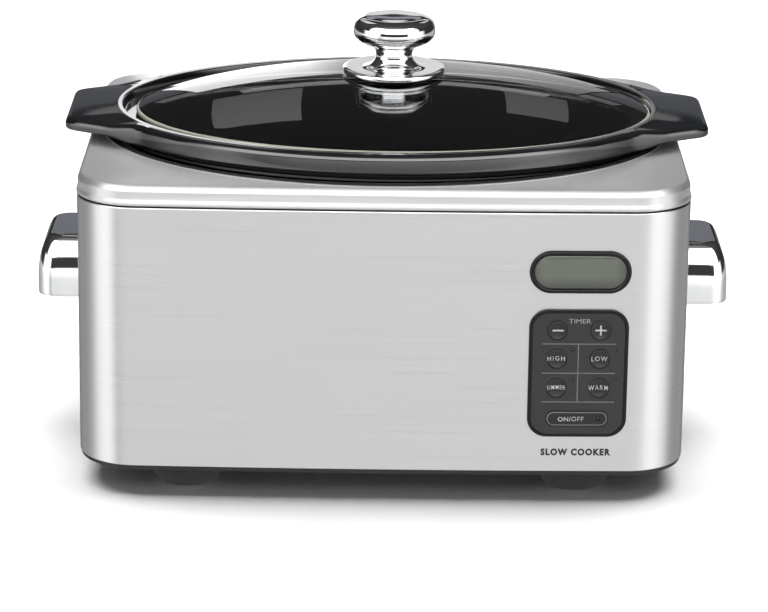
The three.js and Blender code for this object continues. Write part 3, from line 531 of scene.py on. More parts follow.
def screw_holes(side, near, far):
    """Cutters for one side's two handle screws, between two distances from the middle."""
    return [rod(SCREW_HOLE_R, (side * near, y, SCREW_Z), (side * far, y, SCREW_Z), 16)
            for y in (-SCREW_Y, SCREW_Y)]


def raised(outline, y):
    """Points in 3D from points in X and Z."""
    return np.column_stack([outline[:, 0], np.full(len(outline), y), outline[:, 1]])


def slab_xz(outline, y0, y1):
    """Closed slab from an outline drawn in X and Z, from y0 to y1."""
    return Surface().loft([raised(outline, y0), raised(outline, y1)], caps=(True, True))


# ---------------------------------------------------------------- steel wrap


def make_wrap():
    low, high = WRAP_LOW[2], WRAP_HIGH[2]
    section = [(-0.45, low), (-0.1, low + 0.12), (0, low + 0.45), (0, high - 0.9), (-0.18, high - 0.48),
               (-0.6, high - 0.3), (-STEEL_T, high - 0.3), (-STEEL_T, low)]
    rings, maps = [], []
    for offset, z in section:
        points, _, run = housing(offset)
        rings.append(at_height(points, z))
        maps.append([(s * MM, z * MM) for s in run])
    maps.append(maps[0])
    shell = Surface().loft(rings, closes=True, uv=maps)
    cutters = [
        slab_xz(rounded(60, 82, 10.5, (0, PANEL_MIDDLE)), -6, 6).moved(CONTROLS),
        slab_xz(rounded(62.2, 25.2, 12.59, (0, DISPLAY_Z), steps=12), -6, 6).moved(CONTROLS),
        rod(6.3, (0, -6, GLAND_Z), (0, 6, GLAND_Z)).moved(REAR),
    ]
    for side in (-1, 1):
        cutters += screw_holes(side, HALF_WIDTH - 5, HALF_WIDTH + 5)
    mesh = carved(shell, "wrap_shell", cutters)
    # The walls take the normals of the smooth outline, so that the cuts don't mark them
    normals = [None] * len(mesh.loops)
    for face in mesh.polygons:
        middle = face.center / MM
        facing = face.normal.dot(side_normal(middle.x, middle.y))
        is_wall = abs(face.normal.z) < 0.1 and abs(facing) > 0.97
        for k in face.loop_indices:
            corner = mesh.vertices[mesh.loops[k].vertex_index].co / MM
            smooth = side_normal(corner.x, corner.y) * math.copysign(1, facing)
            normals[k] = smooth if is_wall else face.normal.copy()
    mesh.normals_split_custom_set(normals)
    piece("wrap_shell", "housing", mesh, steel_wrap, ["body_wrap"])


make_wrap()

# ---------------------------------------------------------------- top deck

OPENING = (180.8, 132.6)
BEAD_OVAL = (188.6, 149.3)
# Section of the bead round the opening: distance out from its oval, rise above the flat
BEAD = [(1.1, 0.0), (0.85, 0.3), (0.5, 0.48), (0.1, 0.5), (-0.25, 0.34), (-0.5, 0.0), (-0.7, -0.6),
        (-1.0, -1.7)]
BEAD_TOP = 0.5
STEP_DROP = 2.0
SKIRT_INSET = 0.6
FILLET_RUN, FILLET_DROP, FILLET_POWER = 3.0, 4.4, 1.5
FILLET_STEPS = 10


def oval_reach(t, size):
    """Distance of an oval from its middle, in direction t."""
    return 1 / np.hypot(np.cos(t) / size[0], np.sin(t) / size[1])


def oval_towards(points, a, b):
    """Points of an oval in the same directions as the given points."""
    t = np.arctan2(points[:, 1], points[:, 0])
    reach = oval_reach(t, (a, b))
    return np.stack([reach * np.cos(t), reach * np.sin(t)], 1)


def deck_oval(base, size, grow, z):
    return at_height(oval_towards(base, size[0] + grow, size[1] + grow), z)


def make_deck():
    top, low = DECK_HIGH[2] - BEAD_TOP, DECK_LOW[2]
    base, normals, _ = housing()
    edge = housing(-SKIRT_INSET - FILLET_RUN)[0]
    # Skirt from its hem up to the flat: offset from the outline, height
    skirt = [(-0.6, low + 0.75), (-0.1, low + 0.5), (0.26, low + 0.66), (0.4, low + 1.1), (0.4, low + 1.7),
             (0.16, low + 2.9), (-0.22, low + 4.1), (-0.5, low + 5.2)]
    for t in (k / FILLET_STEPS * math.pi / 2 for k in range(FILLET_STEPS + 1)):
        skirt.append((-SKIRT_INSET - FILLET_RUN * (1 - math.cos(t) ** FILLET_POWER),
                      top - FILLET_DROP * (1 - math.sin(t) ** FILLET_POWER)))
    # Length of the section from each point up to the flat
    drops = [0.0]
    for (a0, z0), (a1, z1) in zip(skirt[::-1], skirt[-2::-1]):
        drops.append(drops[-1] + math.hypot(a1 - a0, z1 - z0))
    drops.reverse()
    rings, maps = [], []

    def add(ring, spread):
        rings.append(ring)
        maps.append([tuple(p * MM) for p in [*spread, spread[0]]])

    for (offset, z), drop in zip(skirt, drops):
        add(at_height(housing(offset)[0], z), edge + normals * drop)
    step = top - STEP_DROP
    ovals = [(BEAD_OVAL, out, top + rise) for out, rise in BEAD]
    ovals.append((BEAD_OVAL, -1.4, step))
    ovals += [(OPENING, out, step - drop) for out, drop in (
        (1.2, 0.0), (0.35, 0.1), (-0.1, 0.45), (-0.2, 1.2), (-0.2, 6.8), (0.8, 6.8), (0.8, 1.6),
        (2.4, STEEL_T))]
    ovals += [(BEAD_OVAL, -0.6, step - STEEL_T), (BEAD_OVAL, 0.2, top - STEEL_T)]
    for size, out, z in ovals:
        ring = deck_oval(base, size, out, z)
        add(ring, ring[:, :2])
    # Inside of the sheet, from the flat down behind the fillet to the hem's fold
    for k in range(len(skirt) - 1, 6, -1):
        inward = STEEL_T if k < 9 else 0.9 * STEEL_T
        down = STEEL_T if k > 15 else 0.5 * STEEL_T if k > 9 else 0.0
        offset, z = skirt[k]
        add(at_height(housing(offset - inward)[0], z - down), edge + normals * drops[k])
    maps.append(maps[0])
    shell = Surface().loft(rings, closes=True, uv=maps)
    piece("deck_shell", "housing", shell, steel_deck, ["top_deck"], sharp=50)
    # Painted shade: a dark rubber ring that lies in the step round the opening, under the crock's rim, where the gap
    # lies in shadow
    shadow_ring = []
    for out, rise in ((-1.9, 0.1), (-2.1, 0.7), (-2.8, 1.0), (-6.2, 0.85), (-6.5, 0.1)):
        ring = oval_towards(base, BEAD_OVAL[0] + out, BEAD_OVAL[1] + 2.4 * (out + 1.9) - 1.9)
        shadow_ring.append(at_height(ring, step + rise))
    piece("deck_shadow_ring", "housing", Surface().loft(shadow_ring, closes=True), rubber)


make_deck()

# ---------------------------------------------------------------- base, feet and screws

FOOT_PLACES = {name: (box(f"foot_{name}")[0] + box(f"foot_{name}")[1])[:2] / 2
               for name in ("front_left", "front_right", "rear_left", "rear_right")}


def make_base():
    low, high = box("base_tray")
    bottom = low[2]
    seat = WRAP_LOW[2] - 0.3
    section = [(-4.0, bottom), (-2.2, bottom + 0.15), (-1.1, bottom + 0.75), (-0.7, bottom + 1.7),
               (-0.7, seat), (-STEEL_T - 0.4, seat), (-STEEL_T - 0.4, high[2]), (-STEEL_T - 2.4, high[2]),
               (-STEEL_T - 2.4, bottom + 3)]
    tray = Surface().loft([at_height(housing(offset)[0], z) for offset, z in section], caps=(True, True))
    below, above = bottom - 1, bottom + 4
    cutters = [prism(rounded(5, 34, 2.4, (side * (36 + 14 * i), 0), steps=5), below, above)
               for side in (-1, 1) for i in range(4)]
    cutters += [rod(2.4, (x, y, below), (x, y, above), 20) for x, y in FOOT_PLACES.values()]
    cutters.append(rod(3.6, (0, 0, below), (0, 0, above), 20))
    mesh = carved(tray, "base_shell", cutters)
    piece("base_shell", "housing", mesh, base_plastic, ["base_tray"])
    bosses = Surface()
    root = bottom + 2.9
    boss = fillet([(2.4, root, 0), (6.6, root, 0), (6, 29, 0.6), (2.4, 29, 0.3), (2.4, root, 0)])
    for centre in FOOT_PLACES.values():
        turned(boss, centre, 32, surface=bosses)
    piece("base_bosses", "housing", bosses, base_plastic)


make_base()


def make_feet():
    low, high = box("foot_front_left")
    radius = (high[0] - low[0]) / 2
    top = high[2]
    bulge = [(16 + (radius - 16) * math.sin(t), top - 1.6 - (top - 1.6) * math.cos(t))
             for t in np.linspace(0.10, math.pi / 2, 12)]
    tread = []
    for groove in (8.2, 11.0, 13.8):
        tread += [(groove - 0.5, 0.0), (groove - 0.3, 0.6), (groove + 0.3, 0.6), (groove + 0.5, 0.0)]
    profile = [(4.8, 8.0), (4.8, 0.35), (5.15, 0.0), *tread, (16, 0.0), *bulge, (radius, top - 0.5),
               (radius - 0.5, top), (2.4, top), (2.4, 8.0), (4.8, 8.0)]
    for name, centre in FOOT_PLACES.items():
        foot = turned(profile, centre, 72)
        piece(f"foot_{name}_moulded", "housing", foot, rubber, [f"foot_{name}"])
        head = turned(fillet([(0, 4.6, 0), (3.4, 4.6, 0), (4.2, 5.6, 0.9), (4.2, 7.7, 0.1), (2, 7.7, 0.3),
                              (2, 26.4, 0), (0, 27.2, 0)]), centre, 32)
        cross = []
        for turn in (0, math.pi / 2):
            cos, sin = math.cos(turn), math.sin(turn)
            bar = rounded(4.6, 0.9, 0.2, steps=2) @ np.array([[cos, sin], [-sin, cos]]) + centre
            cross.append(prism(bar, 4.0, 6.4))
        mesh = carved(head, f"foot_screw_{name}_cross", cross)
        piece(f"foot_screw_{name}_cross", "housing", mesh, zinc, [f"foot_screw_{name}"])


make_feet()

# ---------------------------------------------------------------- side handles

HANDLE_LOW, HANDLE_HIGH = box("side_handle_right")
HANDLE_ROOT = HANDLE_LOW[0]
HANDLE_REACH = HANDLE_HIGH[0]
HANDLE_HALF = HANDLE_HIGH[1]
HANDLE_CORNER = 13.0
HANDLE_HEM = 0.8
# Pillowed section: arc length from the lower edge and the tilt of the surface there, in degrees
HANDLE_TILT = [(0, 0), (9, 0.5), (15, 4), (18, 6.5), (23, 13), (26, 18), (32, 27), (35, 38), (37.5, 62),
               (39.6, 84), (40.6, 90)]


def pillow_section():
    """Inset and height of the handle's side, from the lower edge to the flat top."""
    runs = np.linspace(0, HANDLE_TILT[-1][0], 34)
    tilts = np.radians(np.interp(runs, *zip(*HANDLE_TILT)))
    steps = np.diff(runs)
    middle = (tilts[1:] + tilts[:-1]) / 2
    inset = np.concatenate([[0], np.cumsum(steps * np.sin(middle))])
    rise = np.concatenate([[0], np.cumsum(steps * np.cos(middle))])
    height = HANDLE_HIGH[2] - HANDLE_LOW[2] - HANDLE_HEM
    return np.column_stack([inset, rise * height / rise[-1]])


def grab_ring(side, inset, z, root, corner_steps=14):
    """Outline of the handle seen from above, open towards the housing."""
    x1, half = HANDLE_REACH - inset, HANDLE_HALF - inset
    r = max(HANDLE_CORNER - inset * 0.45, 1.0)
    ring = [(root, -half), ((root + x1 - r) / 2, -half)]
    for sy, start in ((-1, -90), (1, 0)):
        for i in range(corner_steps + 1):
            t = math.radians(start + 90 * i / corner_steps)
            ring.append((x1 - r + r * math.cos(t), sy * (half - r) + r * math.sin(t)))
    ring += [((root + x1 - r) / 2, half), (root, half)]
    return [(side * x, y, z) for x, y in ring]


def make_handle(side, name):
    low = HANDLE_LOW[2]
    wall, ceiling, recess = 4.0, 132.0, HANDLE_ROOT + 6
    # From the ceiling of the finger recess, down its wall and round the lower edge, then up the outside
    rows = [(wall + 1.5, ceiling, recess + 1.2), (wall, ceiling - 3.0, recess),
            (wall, low + 1.0, recess - 0.3), (wall - 0.5, low, recess - 1.2), (0.9, low, HANDLE_ROOT), (0.25, low + 0.25, HANDLE_ROOT)]
    rows += [(inset, low + HANDLE_HEM + rise, HANDLE_ROOT) for inset, rise in pillow_section()]
    body = Surface().loft([grab_ring(side, *row) for row in rows], caps=(True, True))
    piece(f"handle_{name}_shell", "housing", body, chrome, [f"side_handle_{name}"], sharp=40)
    plate_low, plate_high = box(f"handle_plate_{name}")
    inner, outer = sorted((plate_low[0], plate_high[0]), key=abs)
    width, height = (plate_high - plate_low)[1:]
    middle = ((plate_low + plate_high) / 2)[1:]
    rings = []
    for x, inset in ((inner, 0.0), (outer - side * 0.5, 0.0), (outer - side * 0.15, 0.15), (outer, 0.5)):
        outline = rounded(width - 2 * inset, height - 2 * inset, 8 - inset, middle, steps=10)
        rings.append(np.column_stack([np.full(len(outline), x), outline]))
    plate = Surface().loft(rings, caps=(True, True))
    mesh = carved(plate, f"handle_plate_{name}_edge", screw_holes(side, 196, 202))
    piece(f"handle_plate_{name}_edge", "housing", mesh, chrome, [f"handle_plate_{name}"])


make_handle(-1, "left")
make_handle(1, "right")

# ---------------------------------------------------------------- controls

# Y in the control frame: the sunk field of the panel, the keys' fronts
FIELD_Y = -1.3
KEY_FRONT = -1.9
COLUMN = 13.8
ROWS = {"timer": 116.0, "heat": 97.0, "keep": 77.3, "power": 56.6}
KEYS = {
    "timer_down": (-COLUMN, ROWS["timer"]),
    "timer_up": (COLUMN, ROWS["timer"]),
    "high": (-COLUMN, ROWS["heat"]),
    "low": (COLUMN, ROWS["heat"]),
    "simmer": (-COLUMN, ROWS["keep"]),
    "warm": (COLUMN, ROWS["keep"]),
}
KEY_R = 6.5
LED_R = 1.4
LED_SHIFT = (9.8, 6.6)
LEDS = {name: (KEYS[name][0] + LED_SHIFT[0], KEYS[name][1] + LED_SHIFT[1])
        for name in ("high", "low", "simmer", "warm")}
POWER_LED = (COLUMN, ROWS["power"])
TO_CONTROLS = Matrix.Diagonal((MM, MM, MM, 1)) @ CONTROLS @ Matrix.Diagonal((1 / MM, 1 / MM, 1 / MM, 1))


def framed(size, radius, middle, rows):
    """Rings in the control frame: a rounded rectangle drawn in by each row's inset, at the row's y."""
    rings = []
    for inset, y in rows:
        width, height = size[0] - 2 * inset, size[1] - 2 * inset
        rings.append(raised(rounded(width, height, radius - inset, (0, middle), steps=12), y))
    return rings


def front_hole(radius, place, steps):
    """Cutter for a round hole in the controls."""
    x, z = place
    return rod(radius, (x, -4, z), (x, 4, z), steps)


def turned_to_front(profile, place, steps):
    """Solid of revolution from [radius, y] points, about the control frame's Y axis at a place."""
    part = turned(profile, steps=steps)
    part.points = [np.array((x + place[0], z, y + place[1])) for x, y, z in part.points]
    return part.moved(CONTROLS)


def make_panel():
    size, radius, back = (64.0, 86.0), 12.5, 3.6
    edge = [(2.4, back), (2.4, -0.3), (0.0, -0.3), (0.0, -0.9), (0.2, -1.35), (0.7, -1.6), (1.7, -1.6),
            (2.2, -1.5), (2.6, FIELD_Y), (3.0, FIELD_Y)]
    rings = framed(size, radius, PANEL_MIDDLE, edge)
    moulding = Surface().loft(rings[:-1], mark=0)
    moulding.loft(rings[-2:], caps=(False, True), mark=1)
    rear = framed(size, radius, PANEL_MIDDLE, [(4.0, back), (4.0, -0.3)])
    moulding.loft([rings[0], *rear], caps=(False, True), mark=0)
    cutters = [front_hole(KEY_R + 0.25, place, 64) for place in KEYS.values()]
    cutters += [front_hole(LED_R + 0.1, place, 24) for place in LEDS.values()]
    cutters.append(slab_xz(rounded(40.5, 10.7, 5.34, (0, ROWS["power"]), steps=16), -4, 4))
    mesh = carved(moulding, "panel_moulding", cutters, sharp=30)
    for face in mesh.polygons:
        face.material_index = int(abs(face.center.y / MM - FIELD_Y) < 0.02)
    mesh.transform(TO_CONTROLS)
    piece("panel_moulding", "housing", mesh, [gloss_black, charcoal], ["control_panel"])


make_panel()


def make_display():
    size = (65.2, 28.2)
    radius = size[1] / 2 - 0.01
    frame_rows = [(3.1, 0.6), (3.1, -0.9), (2.85, -1.35), (2.2, -1.72), (1.5, -1.8), (0.75, -1.6),
                  (0.2, -1.1), (0.0, -0.3), (1.9, -0.3), (1.9, 3.6), (2.8, 3.6)]
    bezel = Surface().loft(framed(size, radius, DISPLAY_Z, frame_rows), closes=True).moved(CONTROLS)
    piece("display_frame", "housing", bezel, gloss_black, ["display_bezel"])
    face_rows = [(3.25, 0.3), (3.25, -0.75), (3.5, -1.0), (4.2, -1.16), (6.5, -1.26), (9.5, -1.3),
                 (12.0, -1.3)]
    lens = Surface().loft(framed(size, radius, DISPLAY_Z, face_rows), caps=(True, True)).moved(CONTROLS)
    piece("display_face", "housing", lens, lcd_face, ["display_lens"])


make_display()

DISH_R, DISH_DEPTH = 5.7, 1.1
POWER_DISH_R, POWER_DISH_DEPTH = 5.6, 0.6


def dish(r, rim=DISH_R, depth=DISH_DEPTH):
    """Depth of a key's hollow at a distance from its middle."""
    return depth * max(0.0, 1 - (r / rim) ** 2)


def key_profile():
    """[radius, y] points of a round key, from the middle of its hollow to the back."""
    front = [(r, KEY_FRONT + dish(r)) for r in np.linspace(0, DISH_R, 12)]
    rim = [(5.9, KEY_FRONT + 0.02), (6.15, KEY_FRONT + 0.14), (6.4, KEY_FRONT + 0.4),
           (KEY_R, KEY_FRONT + 0.8)]
    flange = [(KEY_R, 0.4), (KEY_R + 1.1, 0.4), (KEY_R + 1.1, 1.5), (2.6, 1.5), (2.6, 3.4), (0, 3.4)]
    return [*front, *rim, *flange]


PRINT_T = 0.035
MARK_HALF = 0.55


def lettering(text, size, centre, depth, bold=0.0, spread=1.0):
    """Flat letters of a given size in the control frame; depth gives y at (x, z)."""
    curve = bpy.data.curves.new("letters", "FONT")
    curve.body = text
    curve.offset = bold
    curve.space_character = spread
    curve.resolution_u = 4
    holder = show(bpy.data.objects.new("letters", curve))
    shaped = holder.evaluated_get(bpy.context.evaluated_depsgraph_get())
    mesh = bpy.data.meshes.new_from_object(shaped)
    points = np.array([v.co[:2] for v in mesh.vertices])
    low, high = points.min(0), points.max(0)
    points = (points - (low + high) / 2) * (np.array(size) / (high - low)) + centre
    surface = Surface()
    for face in mesh.polygons:
        surface.face([(x, depth(x, z), z) for x, z in points[list(face.vertices)]])
    bpy.data.objects.remove(holder)
    bpy.data.curves.remove(curve)
    bpy.data.meshes.remove(mesh)
    return surface


def strips(rows, depth):
    """Thin printed strips in the control frame, from (x0, z0, x1, z1) rows; depth gives y at (x, z)."""
    surface = Surface()
    for x0, z0, x1, z1 in rows:
        surface.face([(x, depth(x, z), z) for x, z in ((x0, z0), (x1, z0), (x1, z1), (x0, z1))])
    return surface


def sign_cells(centre, size, plus):
    """A minus or plus sign as (x0, z0, x1, z1) rows, short enough to follow a key's hollow."""
    (cx, cz), (w, h) = centre, (size[0] / 2, size[1] / 2)
    t = MARK_HALF if plus else h
    cells = [(cx - w + k * w / 3, cz - t, cx - w + (k + 1) * w / 3, cz + t) for k in range(6)]
    arm = (h - t) / 3
    for k in range(3 if plus else 0):
        cells.append((cx - t, cz + t + k * arm, cx + t, cz + t + (k + 1) * arm))
        cells.append((cx - t, cz - t - (k + 1) * arm, cx + t, cz - t - k * arm))
    return cells


LABELS = {
    "timer_down": ("minus", (-13.5, 115.9), (7.0, 1.05)),
    "timer_up": ("plus", (13.9, 116.1), (7.2, 6.6)),
    "high": ("HIGH", (-14.3, 97.2), (11.2, 3.1)),
    "low": ("LOW", (13.5, 97.0), (10.3, 3.1)),
    "simmer": ("SIMMER", (-13.9, 77.6), (11.8, 2.9)),
    "warm": ("WARM", (13.2, 77.6), (12.6, 3.3)),
}


def make_keys():
    profile = key_profile()
    for name, place in KEYS.items():
        body = f"key_{name}"
        cap = turned_to_front(profile, place, 64)
        piece(f"key_{name}_cap", body, cap, key_plastic, [f"button_{name}"], sharp=40)

        def skin(x, z):
            return KEY_FRONT + dish(math.hypot(x - place[0], z - place[1])) - PRINT_T

        text, centre, size = LABELS[name]
        if text in ("minus", "plus"):
            mark = strips(sign_cells(centre, size, text == "plus"), skin)
        else:
            mark = lettering(text, size, centre, skin, bold=0.004, spread=1.3)
        piece(f"key_{name}_mark", body, mark.moved(CONTROLS), print_white)


make_keys()


def make_power_key():
    width, height, middle_z = 40.0, 10.2, ROWS["power"]
    hollow = (0.6, middle_z)

    def face_y(x, z):
        return KEY_FRONT + dish(math.hypot(x - hollow[0], z - hollow[1]), POWER_DISH_R, POWER_DISH_DEPTH)

    def dense(inset):
        radius = height / 2 - inset - 0.01
        corners = rounded(width - 2 * inset, height - 2 * inset, radius, (0, middle_z), steps=16)
        out = []
        for p, q in zip(corners, np.roll(corners, -1, 0)):
            parts = max(1, int(np.linalg.norm(q - p) / 1.2))
            out += [p + (q - p) * k / parts for k in range(parts)]
        return np.array(out)

    count = len(dense(0))

    def ring(inset, y=None):
        """Outline drawn in by inset, at y or on the hollowed face."""
        return [(px, face_y(px, pz) if y is None else y, pz) for px, pz in evenly(dense(inset), count)]

    rows = [(-1.0, 1.5), (-1.0, 0.4), (0.0, 0.4), (0.0, KEY_FRONT + 0.7), (0.12, KEY_FRONT + 0.3),
            (0.45, KEY_FRONT + 0.06)]
    rows += [(inset, None) for inset in (0.9, 1.5, 2.1, 2.7, 3.3, 3.9, 4.5, 4.9)]
    cap = Surface().loft([ring(*row) for row in rows], caps=(True, True))
    mesh = carved(cap, "key_power_cap", [front_hole(LED_R + 0.1, POWER_LED, 24)], sharp=40, solver="FAST")
    mesh.transform(TO_CONTROLS)
    piece("key_power_cap", "key_power", mesh, key_plastic, ["button_power"])
    line = Surface().loft([ring(inset, KEY_FRONT - PRINT_T) for inset in (0.55, 1.2)])
    piece("key_power_outline", "key_power", line.moved(CONTROLS), print_grey)
    mark = lettering("ON/OFF", (16.6, 3.1), (-3.9, middle_z - 0.3), lambda x, z: face_y(x, z) - PRINT_T,
                     bold=0.012, spread=1.1)
    piece("key_power_mark", "key_power", mark.moved(CONTROLS), print_white)


make_power_key()


def make_prints():
    def on_field(x, z):
        return FIELD_Y - PRINT_T

    def on_wrap(x, z):
        return -(HALF_DEPTH - BOW + BOW * (1 - ((PANEL_X + x) / HALF_WIDTH) ** 2)) - PRINT_T

    left, right, middle, t = -23.4, 23.8, -0.1, 0.32
    high, low = 107.0, 67.8
    rows = [(left, z - t, right, z + t) for z in (high, 87.3, low)]
    rows.append((middle - t, low, middle + t, high))
    piece("panel_lines", "housing", strips(rows, on_field).moved(CONTROLS), print_grey)
    timer = lettering("TIMER", (14.2, 3.0), (0.4, 122.3), on_field)
    piece("panel_timer_mark", "housing", timer.moved(CONTROLS), print_light)
    words = lettering("SLOW COOKER", (45.2, 4.8), (0.0, 33.2), on_wrap, bold=0.06, spread=1.24)
    words.points = [p + (PANEL_X, 0, 0) for p in words.points]
    piece("front_words", "housing", words, print_black)


make_prints()


def make_leds():
    for name, place in {**LEDS, "power": POWER_LED}.items():
        tip = FIELD_Y - 0.12 if name != "power" else KEY_FRONT + 0.45
        dome = [(0, tip), (0.5, tip + 0.03), (0.95, tip + 0.16), (LED_R, tip + 0.6)]
        lens = turned_to_front([*dome, (LED_R, 4.0), (0, 4.0)], place, 24)
        piece(f"led_{name}_lens", "housing", lens, led_lens, [f"led_{name}"])


make_leds()

# ---------------------------------------------------------------- crock

CROCK_LOW, CROCK_HIGH = box("crock")
CROCK_X = (CROCK_LOW[0] + CROCK_HIGH[0]) / 2
RIM = (187.7, 137.8)
SEAT_EDGE = (178.4, 129.0)
MOUTH = (163.5, 111.5)
LEDGE_Z = 217.9
RIM_Z = CROCK_HIGH[2]
GRIP_REACH = CROCK_HIGH[0] - CROCK_X
GRIP_TOP_Z = 222.4
GRIP_UNDER_Z = 214.6
RIM_UNDER_Z = 211.2
GRIP_TIP_HALF = 41.5
GRIP_FLARE = 0.55
GRIP_ROOT_X = 120.0
CROCK_COUNT = 480
# Section of the rim's rolled edge: distance in from the outline, drop below the flat
RIM_ROUNDING = [(3.9, 0.0), (3.0, 0.12), (2.2, 0.42), (1.5, 0.9), (0.95, 1.5), (0.5, 2.2), (0.2, 2.85),
                (0.05, 3.25), (0.0, 3.7)]


def soft_min(a, b, k):
    h = np.maximum(k - np.abs(a - b), 0) / k
    return np.minimum(a, b) - h * h * k / 4


def crock_outline():
    """Outline of the rim, an oval joined by two tapered grips: points, normals, each point's grip share."""
    t = np.linspace(0, 2 * math.pi, 7200, endpoint=False)
    oval = oval_reach(t, RIM)
    cos, sin = np.abs(np.cos(t)), np.abs(np.sin(t))
    tip = GRIP_REACH / np.maximum(cos, 1e-6)
    flare = (GRIP_TIP_HALF + GRIP_REACH * GRIP_FLARE) / (sin + GRIP_FLARE * cos)
    grip = np.where(flare * cos > GRIP_ROOT_X, soft_min(tip, flare, 9.0), 0.0)
    reach = -soft_min(-oval, -grip, 2.5)
    even = evenly(np.stack([reach * np.cos(t), reach * np.sin(t)], 1), CROCK_COUNT)
    tangent = np.roll(even, -1, 0) - np.roll(even, 1, 0)
    normals = np.stack([tangent[:, 1], -tangent[:, 0]], 1)
    normals /= np.linalg.norm(normals, axis=1, keepdims=True)
    angle = np.arctan2(even[:, 1], even[:, 0])
    beyond = np.hypot(*even.T) - oval_reach(angle, RIM)
    share = np.clip(beyond / 14, 0, 1)
    return even, normals, share * share * (3 - 2 * share)


def make_crock():
    outline, normals, share = crock_outline()
    shift = np.array((CROCK_X, 0.0))

    def oval(a, b, z):
        return at_height(oval_towards(outline, a, b) + shift, z)

    def inset(distance, z):
        return at_height(outline - normals * distance + shift, z)

    sa, sb = SEAT_EDGE
    ma, mb = MOUTH
    floor = 69.0
    grip_drop = (RIM_Z - GRIP_TOP_Z) * share
    rings = [oval(8, 6, floor - 0.2)]
    inside = [(60, floor - 0.1), (30.5, floor), (22, floor + 1.0), (15.5, floor + 4.4), (12.2, floor + 10),
              (11.0, floor + 18), (8.3, 120), (5.8, 150), (4.0, 172), (3.0, 184), (2.2, 194), (1.4, 204),
              (0.8, 211.5), (0.4, 214.8), (0.0, LEDGE_Z - 1.8), (-0.25, LEDGE_Z - 0.8),
              (-0.9, LEDGE_Z - 0.15), (-1.8, LEDGE_Z)]
    rings += [oval(ma - d, mb - d, z) for d, z in inside]
    lip = [(3.2, LEDGE_Z), (2.2, LEDGE_Z + 0.15), (1.6, LEDGE_Z + 0.7), (1.2, LEDGE_Z + 1.6),
           (0.9, RIM_Z - 1.0), (0.7, RIM_Z - 0.45), (0.3, RIM_Z - 0.12), (-0.4, RIM_Z)]
    rings += [oval(sa - d, sb - d, z) for d, z in lip]
    rings.append(oval(sa + 3.4, sb + 3.2, RIM_Z - 0.02))
    rings.append(oval(sa + 5.4, sb + 4.9, RIM_Z - 0.05 - grip_drop * 0.15))
    for distance, drop in RIM_ROUNDING:
        rings.append(inset(distance, RIM_Z - grip_drop - drop))
    under = RIM_UNDER_Z + (GRIP_UNDER_Z - RIM_UNDER_Z) * share
    for distance, rise in ((0.0, 3.0), (0.05, 1.6), (0.35, 0.7), (1.0, 0.15), (1.9, 0.0), (3.2, 0.0)):
        rings.append(inset(distance, under + rise))
    rings.append(oval(184.0, 134.1, under))
    rings.append(oval(182.6, 133.9, np.minimum(under, 211.2)))
    below = [(181.6, 133.7, 207.2), (181.2, 133.3, 206.7), (175.0, 128.8, 206.7), (174.0, 128.0, 206.2),
             (173.0, 126.0, 200.0), (171.6, 119.8, 193.0), (170.5, 118.5, 188.0), (162.0, 110.0, 90.0),
             (160.4, 108.4, 78.0), (157.6, 105.6, 69.0), (152.0, 100.0, 62.6), (144.5, 92.5, 60.1),
             (138, 86, 60.0), (132, 80, 61.2), (8, 6, 61.2)]
    foot = [oval(*row) for row in below]
    body = Surface().loft(rings + foot[:-3], mark=0)
    body.loft(foot[-4:], caps=(False, True), mark=1)
    body.face(rings[0])
    piece("crock_glazed", "crock", body, [glaze, bisque], ["crock"], sharp=60)


make_crock()

# ---------------------------------------------------------------- lid and knob

LID_LOW, LID_HIGH = box("glass_lid")
LID_X = (LID_LOW[0] + LID_HIGH[0]) / 2
LID_EDGE = ((LID_HIGH[0] - LID_LOW[0]) / 2, (LID_HIGH[1] - LID_LOW[1]) / 2)
LID_T = 4.2
LID_DOME = 0.7
LID_HOLE_R = 5.0
LID_COUNT = 200


def dome_rise(share):
    drop = (1 - math.sqrt(1 - (LID_DOME * share) ** 2)) / (1 - math.sqrt(1 - LID_DOME ** 2))
    return (LID_HIGH[2] + 0.05 - LID_LOW[2] - LID_T) * (1 - drop)


def make_lid():
    a, b = LID_EDGE
    low = LID_LOW[2]

    def ring(sa, sb, z):
        return ellipse(sa, sb, z, LID_COUNT, LID_X)

    shares = np.linspace(0.06, 0.97, 24)
    top = [ring(a * s, b * s, low + LID_T + dome_rise(s)) for s in shares]
    under = [ring(a * s, b * s, low + dome_rise(s)) for s in shares][::-1]
    hole = LID_HOLE_R
    rounding = LID_T / 2
    edge = []
    for degrees in (78, 60, 42, 24, 8, -8, -24, -42, -60, -78):
        angle = math.radians(degrees)
        inset = rounding * (1 - math.cos(angle))
        edge.append(ring(a - inset, b - inset, low + rounding + rounding * math.sin(angle)))
    crown = low + LID_T + dome_rise(0)
    lid = Surface()
    bore = [(hole + 0.4, crown - LID_T), (hole, crown - LID_T + 0.4), (hole, crown - 0.4),
            (hole + 0.4, crown - 0.02)]
    lid.loft([edge[-1], *under, *(ring(r, r, z) for r, z in bore), *top, edge[0]], mark=0)
    lid.loft(edge, mark=1)
    piece("lid_glass", "lid", lid, [clear_glass, ground_glass], ["glass_lid"], sharp=70)


make_lid()

KNOB_LOW, KNOB_HIGH = box("knob")


